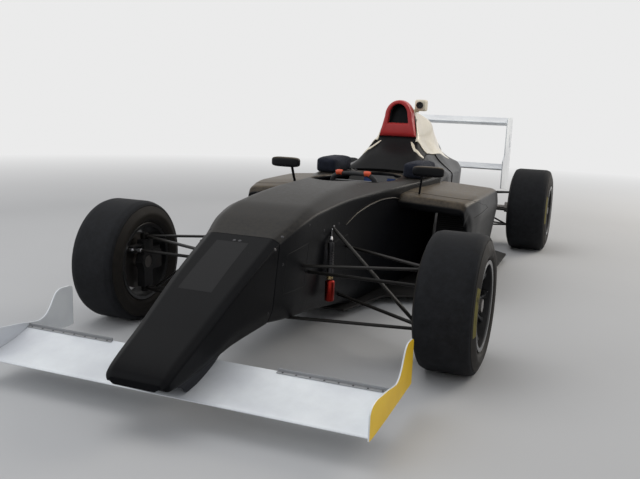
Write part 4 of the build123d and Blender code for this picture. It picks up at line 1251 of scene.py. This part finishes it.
class RACECAR_OT_rear_end(bpy.types.Operator):
    """Ribbed gear case, bolts of the crash box and the rear light with its rows of lamps"""
    bl_idname = "racecar.rear_end"
    bl_label = "Rear end"

    def execute(self, context):
        # How far the case's skin and the tops of its ribs lie inside its end flanges.
        skin, rib = 0.0075, 0.0008

        def raised(places, foot, top, inset):
            """Places and insets of ribs that rise from the skin over a foot to a top, as half widths."""
            return [(place + away, level) for place in places
                    for away, level in ((-foot, skin), (-top, inset), (top, inset), (foot, skin))]

        y, inset = np.transpose([
            (0.9505, 0), (0.966, 0), (0.966, skin),
            *raised((1.03, 1.10, 1.17, 1.24, 1.31), 0.006, 0.003, rib), *raised((1.41,), 0.009, 0.009, 0),
            *raised((1.48, 1.56, 1.64), 0.006, 0.003, rib), (1.743, skin), (1.743, 0), (1.7595, 0)])
        width, floor, roof = [np.interp(y, (0.95, 1.41, 1.76), values) for values in
                              ((0.160, 0.120, 0.090), (0.060, 0.090, 0.140), (0.400, 0.385, 0.372))]
        half, low, high = width - inset, floor + inset, roof - inset
        corners = stacked(stacked(half, half, -half, -half), stacked(low, high, high, low))
        case = tube(stood(rounded(corners, 0.035, 64, closed=True), y))
        outlet_y, outlet_z, bolt_circle = 1.57, 0.2875, 0.051
        outlet = moved(hoop([(0.030, -0.030), (0.060, -0.030), (0.060, 0.004), (0.052, 0.010), (0.040, 0.012),
                             (0.030, 0.012)], 0.003, 48, 48), (0.105, outlet_y, outlet_z), (1, 0, 0))
        studs = [bolt((0.114, outlet_y + bolt_circle * cos(a), outlet_z + bolt_circle * sin(a)), (1, 0, 0),
                      0.004, 0.004) for a in np.arange(8) * pi / 4]
        piece("gear_case", "cast_metal", [case, both(outlet), marked(both(*studs), 1)],
              replaces=["gearbox"], finish=("cast_metal", "steel"))

        heads = [bolt((0.07954, 1.775, z), (1, 0.1, 0), 0.005, 0.003) for z in (0.205, 0.245, 0.290, 0.333)]
        piece("crash_box_bolts", "steel", [both(*heads)])

        low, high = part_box("rain_light")
        x, y, z = (low + high) / 2
        size = (np.array(high) - low) / 2 - (0, 0.003, 0)
        case = pillow((x, y - 0.003, z), size, 10, 20, 40)
        lens = pillow((x, high[1] - 0.005, z), (0.032, 0.004, 0.030), 10, 16, 40)
        lamps = [pillow((across, high[1] - 0.0012, above), (0.0045, 0.0011, 0.0045), 2.4, 10, 16)
                 for across in np.linspace(-0.024, 0.024, 5) for above in z + np.linspace(-0.022, 0.022, 5)]
        piece("tail_light", "light_red", [marked(case, 1), lens, joined(*lamps)],
              replaces=["rain_light"], finish=("light_red", "gap_black"))
        return {"FINISHED"}


class RACECAR_OT_wheels(bpy.types.Operator):
    """Slick tyres and spoked wheels at the four corners"""
    bl_idname = "racecar.wheels"
    bl_label = "Wheels and tyres"

    def tyre(self, radius, half, rim_half, steps):
        """A slick tyre round Z. Its layout runs round it from 0 to 1 outside and from 1 to 2 inside, and the
        second value is the distance from the axle as a share of the tyre's radius."""
        bead, bead_half = 0.1655, rim_half - 0.0125
        wall = [(bead, bead_half), (bead + 0.006, bead_half + 0.008), (bead + 0.012, bead_half + 0.008),
                (bead + 0.014, bead_half + 0.012), (bead + 0.026, half - 0.009),
                (radius * 0.79, half - 0.004), (radius * 0.918, half - 0.017),
                (radius * 0.921, half - 0.0205), (radius * 0.929, half - 0.0185),
                (radius * 0.968, half - 0.0245), (radius, half - 0.048)]
        reach = (0.001, 0.003, 0.002, 0.003, 0.010, 0.022, 0.0006, 0.0006, 0.0006, 0.012, 0.016)
        outline = wall + [(r, -x) for r, x in reversed(wall)]
        points, faces, layout = lathe(rounded(outline, reach + reach[::-1], 170), steps)
        corners = points[np.array(faces).ravel()]
        layout[:, 0] += corners[:, 2] < 0
        layout[:, 1] = np.hypot(corners[:, 0], corners[:, 1]) / radius
        return points, faces, layout

    def wheel(self, half, rim_half, spokes):
        """A wheel round Z: a dark form, and a bright one with the lip, the valve and the pins."""
        lip, seat, inner = 0.174, 0.165, 0.158
        edge = min(rim_half + 0.0085, half - 0.006)
        barrel = hoop([(inner, edge - 0.001), (lip - 0.001, edge), (lip, edge - 0.003),
                       (lip - 0.001, rim_half - 0.009), (seat, rim_half - 0.012), (seat, 0.05),
                       (seat - 0.004, 0.03), (seat - 0.004, -0.03), (seat, -0.05), (seat, -rim_half + 0.012),
                       (lip - 0.002, -rim_half + 0.009), (lip, -rim_half + 0.003), (lip - 0.001, -rim_half),
                       (inner, -rim_half + 0.001), (inner, -0.04), (inner - 0.003, 0.0), (inner, 0.04)],
                      0.002, 96, 120)
        bright = hoop([(lip - 0.0035, edge - 0.0004), (lip - 0.0005, edge), (lip, edge - 0.002),
                       (lip - 0.002, edge - 0.003)], 0.001, 24, 120)
        face = rim_half - 0.024
        boss = hoop([(0.0205, 0.010), (0.0205, face + 0.001), (0.030, face + 0.002), (0.052, face - 0.003),
                     (0.061, face - 0.012), (0.062, face - 0.040), (0.058, 0.010)], 0.003, 64, 60)
        r = np.linspace(0.046, 0.1605, 18)
        t = (r - r[0]) / (r[-1] - r[0])
        wide = np.interp(t, (0, 0.25, 0.8, 1), (0.0125, 0.0075, 0.0065, 0.012))
        deep = np.interp(t, (0, 1), (0.019, 0.011))
        height = face - 0.003 - deep + 0.014 * t ** 1.5 - 0.006 * np.sin(pi * t)
        spoke = swept(stacked(r, 0, height), wide, deep, 20, 3.0)
        turns = np.arange(spokes) * 2 * pi / spokes
        star = [moved(spoke, along=(cos(turn), sin(turn), 0)) for turn in turns]
        valve = rod((0.150, 0.02, rim_half - 0.030), (0.146, 0.02, rim_half - 0.008), 0.003, 12)
        pin_circle = 0.042
        pins = [bolt((pin_circle * cos(a), pin_circle * sin(a), face - 0.001), (0, 0, 1), 0.005, 0.003, 24)
                for a in np.arange(6) * pi / 3]
        return [joined(barrel, boss, *star), marked(joined(bright, valve, *pins), 1)]

    def execute(self, context):
        sizes = context.scene.racing_car_sizes
        for end in ("front", "rear"):
            low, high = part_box(f"tyre_{end}_left")
            rim_low, rim_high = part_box(f"wheel_{end}_left")
            centre = (low + high) / 2
            half, rim_half = (high[0] - low[0]) / 2, (rim_high[0] - rim_low[0]) / 2
            forms = [self.tyre((high[2] - low[2]) / 2, half, rim_half, sizes.tyre_steps),
                     *self.wheel(half, rim_half, sizes.spokes)]
            forms = [moved(form, centre, (1, 0, 0), (0, 1, 0)) for form in forms]
            for side in ("left", "right"):
                tyre, *wheel = forms if side == "left" else [mirrored(form) for form in forms]
                body = f"wheel_{end}_{side}_body"
                piece(f"slick_{end}_{side}", "tyre_rubber", [tyre], replaces=[f"tyre_{end}_{side}"],
                      body=body)
                piece(f"rim_{end}_{side}", "rim_black", wheel, replaces=[f"wheel_{end}_{side}"],
                      finish=("rim_black", "rim_lip"), body=body)
        return {"FINISHED"}


class RACECAR_OT_suspension(bpy.types.Operator):
    """Wishbones, pushrods, toe links, track rods and dampers"""
    bl_idname = "racecar.suspension"
    bl_label = "Suspension"

    def arm(self, start, end, half_chord=0.0130):
        """A streamlined tube: a lens section whose ends draw in to a round stub."""
        stub, half_thick = 0.0065, 0.0058
        t = np.array([0, 0.02, 0.05, 0.09, 0.14, 0.5, 0.86, 0.91, 0.95, 0.98, 1.0])
        path = start + t[:, None] * np.subtract(end, start)
        swell = np.clip(np.minimum(t, 1 - t) / 0.12, 0, 1) ** 0.7
        return swept(path, stub + (half_chord - stub) * swell, stub + (half_thick - stub) * swell, 20)

    def wishbones(self, pins):
        """Arms from the pins of an upright inward to their ends, with a bearing housing round each pin."""
        radius, half = 0.018, 0.013
        ring = [(0.0085, -half), (radius - 0.002, -half), (radius, -half + 0.002), (radius, half - 0.002),
                (radius - 0.002, half), (0.0085, half)]
        eye = hoop(ring, 0.001, 40, 40)
        forms = []
        for pin, *ends in pins:
            forms += [self.arm(pin + unit(np.subtract(end, pin)) * 0.014, end) for end in ends]
            forms.append(moved(eye, pin))
        return forms

    def execute(self, context):
        front = self.wishbones((((0.66, -1.18, 0.385), (0.150, -1.33, 0.372), (0.150, -0.85, 0.376)),
                                ((0.66, -1.18, 0.145), (0.110, -1.35, 0.165), (0.110, -0.835, 0.150))))
        piece("front_arms", "arm_black", [both(*front)], replaces=["front_wishbones"])
        rear = self.wishbones((((0.63, 1.57, 0.4025), (0.06, 1.35, 0.372), (0.06, 1.69, 0.366)),
                               ((0.63, 1.57, 0.1625), (0.06, 1.34, 0.160), (0.06, 1.70, 0.1675))))
        toe_link = rod((0.607, 1.656, 0.255), (0.07, 1.72, 0.250), 0.007)
        piece("rear_arms", "arm_black", [both(*rear, toe_link)], replaces=["rear_wishbones"])
        pushrod = self.arm((0.600, -1.174, 0.159), (0.18, -1.062, 0.500), 0.0125)
        piece("front_rods", "arm_black", [both(pushrod)], replaces=["front_pushrods"])
        pushrod = self.arm((0.56, 1.534, 0.1725), (0.10, 1.466, 0.400))
        piece("rear_rods", "arm_black", [both(pushrod)], replaces=["rear_pushrods"])

        rack_y, rack_z = -1.27, 0.338

        def bar(start, end, radius, around=20):
            """A round bar on the rack's line between two places across the car."""
            return rod((start, rack_y, rack_z), (end, rack_y, rack_z), radius, around)

        eye = hoop([(0.004, -0.007), (0.012, -0.006), (0.013, 0), (0.012, 0.006), (0.004, 0.007)], 0.001,
                   30, 32)
        ends = both(bar(0.12, 0.648, 0.005), bar(0.118, 0.150, 0.010, 6), bar(0.612, 0.632, 0.0085, 6),
                    moved(eye, (0.66, rack_y, rack_z)))
        links = both(bar(0.150, 0.612, 0.0068))
        piece("track_rods", "steel", [bar(-0.12, 0.12, 0.012, 32), ends, marked(links, 1)],
              replaces=["steering_rack"], finish=("steel", "arm_black"), body="rack_body")

        # The damper stands beside the tub, its can below and its spring above.
        x, y = 0.212, -1.128
        can = spun([(0.001, 0.191), (0.017, 0.191), (0.020, 0.195), (0.020, 0.272), (0.018, 0.276),
                    (0.010, 0.280), (0.001, 0.281)], (0.214, y, 0))
        stem = spun([(0.001, 0.281), (0.0085, 0.281), (0.0085, 0.300), (0.0138, 0.302), (0.0138, 0.330),
                     (0.011, 0.333), (0.011, 0.400), (0.0138, 0.404), (0.0138, 0.436), (0.001, 0.439)],
                    (x, y, 0))
        collar = spun([(0.001, 0.2835), (0.0120, 0.2835), (0.0130, 0.2845), (0.0130, 0.2985),
                       (0.0120, 0.2995), (0.001, 0.2995)], (x, y, 0))
        coil_radius, wire = 0.0125, 0.0016
        turns = np.linspace(0, 2 * pi * 6, 150)
        coil = stacked(x + coil_radius * np.cos(turns), y + coil_radius * np.sin(turns),
                       0.335 + 0.062 * turns / turns[-1])
        spring = swept(coil, wire, wire, 8)
        link = rod((0.190, -1.066, 0.487), (0.208, -1.118, 0.446), 0.0045)
        link_ends = both(*[rod(start, end, radius, 24) for start, end, radius in (
            ((0.187, -1.058, 0.493), (0.194, -1.078, 0.477), 0.0078),
            ((0.204, -1.108, 0.454), (0.2085, -1.121, 0.443), 0.0078),
            ((0.176, -1.060, 0.494), (0.198, -1.060, 0.494), 0.0095))])
        bracket = slab([(0.150, y, 0.302), (0.206, y, 0.302), (0.206, y, 0.418), (0.150, y, 0.418)],
                       0.01, 0.010, 40, 0.002)
        piece("damper_units", "damper_red",
              [both(can), marked(link_ends, 1), marked(both(stem, spring, bracket, link), 2),
               marked(both(collar), 3)],
              replaces=["front_dampers"], finish=("damper_red", "steel", "steel_dark", "brass"))
        return {"FINISHED"}


class RACECAR_OT_cockpit(bpy.types.Operator):
    """Seat, belts and steering wheel"""
    bl_idname = "racecar.cockpit"
    bl_label = "Cockpit"

    def execute(self, context):
        line = rounded([(-0.352, 0.112), (-0.10, 0.084), (-0.04, 0.112), (0.20, 0.560), (0.218, 0.588)],
                       (0, 0.06, 0.05, 0.03, 0), 60)
        x = np.linspace(-1, 1, 41)
        way = np.gradient(line, axis=0)
        out = unit(stacked(-way[:, 1], way[:, 0]))
        bolster = 0.075 * np.clip((np.abs(x) - 0.55) / 0.45, 0, 1) ** 1.8
        hold = np.interp(np.linspace(0, 1, 60), (0, 0.1, 0.85, 1), (0.5, 1, 1, 0.4))
        rise = hold[:, None] * bolster
        grid = stacked(x * 0.160, line[:, :1] + out[:, :1] * rise, line[:, 1:] + out[:, 1:] * rise)
        piece("seat_shell", "seat_black", [lattice(grid)], replaces=["seat"], solid=0.006, bevel=0.0015)

        def strap(path):
            """Webbing: a thin ribbon along a smooth path that lies on the seat."""
            return swept(rounded(path, 0.05, 60), 0.024, 0.0012, 16, 6.0, up=(0, -0.88, 0.47))

        belts = [strap([(0.070, 0.205, 0.575), (0.066, 0.155, 0.490), (0.050, 0.020, 0.235),
                        (0.030, -0.030, 0.165), (0.012, -0.075, 0.125)]),
                 strap([(0.135, 0.010, 0.170), (0.080, -0.040, 0.128), (0.020, -0.080, 0.120)])]
        buckle = pillow((0, -0.085, 0.128), (0.026, 0.026, 0.010), 5)
        piece("belts", "pad_navy", [both(*belts), marked(buckle, 1)], finish=("strap_blue", "steel"))

        # The steering wheel is drawn round Z and then set on its column's axis.
        axis = np.array((0, 0.974425, 0.224714))
        centre = np.array((0, -0.28, 0.565)) + axis * 0.026
        across, over = superellipse(circle(96), 0.62)
        ring = stacked(0.119 * across, 0.070 * over, 0)
        section = circle(14)
        out = unit(ring)
        thick = (0.011 + 0.004 * np.abs(out[:, 0]) ** 3)[:, None]
        rim = lattice(ring[:, None] + out[:, None] * (thick * np.cos(section))[..., None]
                      + np.array((0, 0, 1)) * (thick * 0.8 * np.sin(section))[..., None],
                      closed_u=True, closed_v=True)
        plate = slab([(-0.105, -0.032, 0), (0.105, -0.032, 0), (0.105, 0.030, 0), (0.070, 0.045, 0),
                      (-0.070, 0.045, 0), (-0.105, 0.030, 0)], 0.02, 0.012, 80, 0.002)
        hub = spun([(0.001, -0.026), (0.030, -0.026), (0.030, -0.008), (0.022, -0.002), (0.001, -0.002)])
        screen = pillow((0, -0.012, 0.007), (0.040, 0.020, 0.003), 6)
        knobs = [bolt((x, y, 0.006), (0, 0, 1), 0.007, 0.007, 24) for x, y in
                 ((0.068, -0.018), (-0.068, -0.018), (0.068, 0.010), (-0.068, 0.010), (0.045, 0.026),
                  (-0.045, 0.026), (0.0, 0.026))]
        paddles = [slab([(x, -0.022, -0.016), (x * 1.7, -0.018, -0.018), (x * 1.7, 0.018, -0.018),
                         (x, 0.022, -0.016)], 0.008, 0.003, 40, 0.001) for x in (0.05, -0.05)]
        grip = np.array([(0.062, -0.0705, 0), (0.070, -0.0720, 0), (0.077, -0.0725, 0), (0.084, -0.0715, 0),
                         (0.092, -0.0690, 0)])
        thumbs = [swept(rounded(grip * (side, 1, 1), 0.004, 20), 0.0140, 0.0130, 20, 2.2) for side in (-1, 1)]
        forms = [rim, joined(plate, hub), screen, joined(*knobs, *paddles), joined(*thumbs)]
        piece("hand_wheel", "wheel_grip",
              [moved(marked(form, index), centre, axis, (1, 0, 0)) for index, form in enumerate(forms)],
              replaces=["steering_wheel"], body="steering_wheel_body",
              finish=("wheel_grip", "carbon", "gap_black", "steel", "grip_orange"))
        return {"FINISHED"}


class RACECAR_OT_head_pads(bpy.types.Operator):
    """Padded head side rests, swelled by a short cloth run"""
    bl_idname = "racecar.head_pads"
    bl_label = "Head pads"

    def execute(self, context):
        low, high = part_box("headrest_pads")
        # The pad's inner face, then the gaps by which it starts smaller than its seat. The cloth run
        # swells it into them.
        inner, side_gap, top_gap = 0.186, 0.006, 0.008
        centre = ((inner + high[0]) / 2, (low[1] + high[1]) / 2, (low[2] + high[2]) / 2 + 0.002)
        size = ((high[0] - inner) / 2 - side_gap, (high[1] - low[1]) / 2 - side_gap,
                (high[2] - low[2]) / 2 - top_gap)
        form = pillow(centre, size, 7.0, 40, 60)
        pad = piece("head_pad_left", "pad_navy", [form], replaces=["headrest_pads"])
        pad.parent = None
        swell(pad, 0.005)
        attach(pad, "chassis")
        points = np.clip(vertices(pad), np.array(low) + (0, 0, 0.001), np.array(high))
        points[:, 0] = np.maximum(points[:, 0], inner)
        pad.data.vertices.foreach_set("co", points.ravel())
        faces = [list(polygon.vertices) for polygon in pad.data.polygons]
        layout = np.zeros((len(pad.data.loops), 2))
        other = piece("head_pad_right", "pad_navy", [mirrored((points, faces, layout))])
        return {"FINISHED"}


def vertices(item):
    """The points of an object's mesh as rows of x, y and z."""
    points = np.empty(len(item.data.vertices) * 3)
    item.data.vertices.foreach_get("co", points)
    return points.reshape(-1, 3)


def swell(item, cap):
    """Swells a closed mesh as cloth under pressure, moves no point further than cap, and applies it."""
    scene = bpy.context.scene
    with bpy.context.temp_override(object=item, active_object=item, selected_objects=[item]):
        mesher = item.modifiers.new("mesher", "REMESH")
        mesher.mode = "VOXEL"
        mesher.voxel_size = 0.006
        bpy.ops.object.modifier_apply(modifier="mesher")
    before = vertices(item)
    fabric = item.modifiers.new("fabric", "CLOTH")
    fabric.settings.use_pressure = True
    fabric.settings.uniform_pressure_force = 4
    fabric.settings.effector_weights.gravity = 0
    fabric.point_cache.frame_start = 1
    fabric.point_cache.frame_end = SWELL_FRAMES
    for frame_number in range(1, SWELL_FRAMES + 1):
        scene.frame_set(frame_number)
    after = vertices(item.evaluated_get(bpy.context.evaluated_depsgraph_get()))
    item.modifiers.clear()
    scene.frame_set(1)
    step = after - before
    step *= np.minimum(1, cap / (np.linalg.norm(step, axis=1, keepdims=True) + TINY))
    item.data.vertices.foreach_set("co", (before + step).ravel())
    item.data.shade_smooth()


class RACECAR_OT_mirrors(bpy.types.Operator):
    """Mirror pods on thin stalks and the small camera housing beside the airbox"""
    bl_idname = "racecar.mirrors"
    bl_label = "Mirrors and camera"

    def execute(self, context):
        x, z = 0.394, 0.673
        pod = pillow((x, -0.255, z), (0.081, 0.020, 0.0265), 4.5, 30, 40)
        glass = pillow((x, -0.2345, z), (0.070, 0.0016, 0.019), 6.0, 16, 40)
        stalk = swept([(0.344, -0.222, 0.540), (0.352, -0.236, 0.590), (0.362, -0.247, 0.655)],
                      0.0048, 0.0075)
        piece("mirror_pods", "carbon", [both(pod), both(stalk), marked(both(glass), 1)],
              replaces=["mirrors"], finish=("sidepod_black", "glass"))
        x, foot_x, front = 0.112, 0.085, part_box("onboard_camera")[0][1]
        middle = front + 0.050
        case = pillow((x, middle, 0.998), (0.034, 0.040, 0.035), 6.0, 24, 32)
        foot = rod((foot_x, middle, 0.955), (foot_x, middle, 0.975), 0.014)
        barrel = spun([(0.001, 0.004), (0.011, 0.003), (0.013, 0.000), (0.0205, 0.001), (0.021, 0.012),
                       (0.001, 0.013)], (x, front, 0.999), (0, 1, 0))
        piece("camera_pod", "camera_cream", [case, foot, marked(barrel, 1)],
              replaces=["onboard_camera"], finish=("camera_cream", "gap_black"))
        return {"FINISHED"}


class RACECAR_OT_carried(bpy.types.Operator):
    """Procedural finishes for every node that stays as it is"""
    bl_idname = "racecar.carried"
    bl_label = "Carried parts"

    def execute(self, context):
        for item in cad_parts.values():
            for entry in item.material_slots:
                slot = entry.material.name.split(".")[0].removesuffix("_plain")
                entry.material = finished(slot)
        return {"FINISHED"}


OPERATORS = (
    RACECAR_OT_stage, RACECAR_OT_nose, RACECAR_OT_tub, RACECAR_OT_airbox, RACECAR_OT_cover,
    RACECAR_OT_sidepods, RACECAR_OT_front_wing, RACECAR_OT_rear_wing, RACECAR_OT_rear_end,
    RACECAR_OT_wheels, RACECAR_OT_suspension, RACECAR_OT_cockpit, RACECAR_OT_head_pads,
    RACECAR_OT_mirrors, RACECAR_OT_carried,
)


class RACECAR_PT_panel(bpy.types.Panel):
    """Buttons for every group of pieces, with sizes and colours"""
    bl_idname = "RACECAR_PT_panel"
    bl_label = "Racing Car"
    bl_space_type = "VIEW_3D"
    bl_region_type = "UI"
    bl_category = "Racing Car"

    def draw(self, context):
        for group in (context.scene.racing_car_sizes, context.scene.racing_car_colours):
            for key in group.__annotations__:
                self.layout.prop(group, key)
        for operator in OPERATORS:
            self.layout.operator(operator.bl_idname)


CLASSES = (RacingCarSizes, RacingCarColours, *OPERATORS, RACECAR_PT_panel)


def register():
    for item in CLASSES:
        bpy.utils.register_class(item)
    bpy.types.Scene.racing_car_sizes = PointerProperty(type=RacingCarSizes)
    bpy.types.Scene.racing_car_colours = PointerProperty(type=RacingCarColours)


def unregister():
    del bpy.types.Scene.racing_car_sizes
    del bpy.types.Scene.racing_car_colours
    for item in reversed(CLASSES):
        bpy.utils.unregister_class(item)


def main():
    """Registers the add-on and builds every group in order."""
    register()
    for operator in OPERATORS:
        group, name = operator.bl_idname.split(".")
        getattr(getattr(bpy.ops, group), name)()


if __name__ == "__main__":
    main()
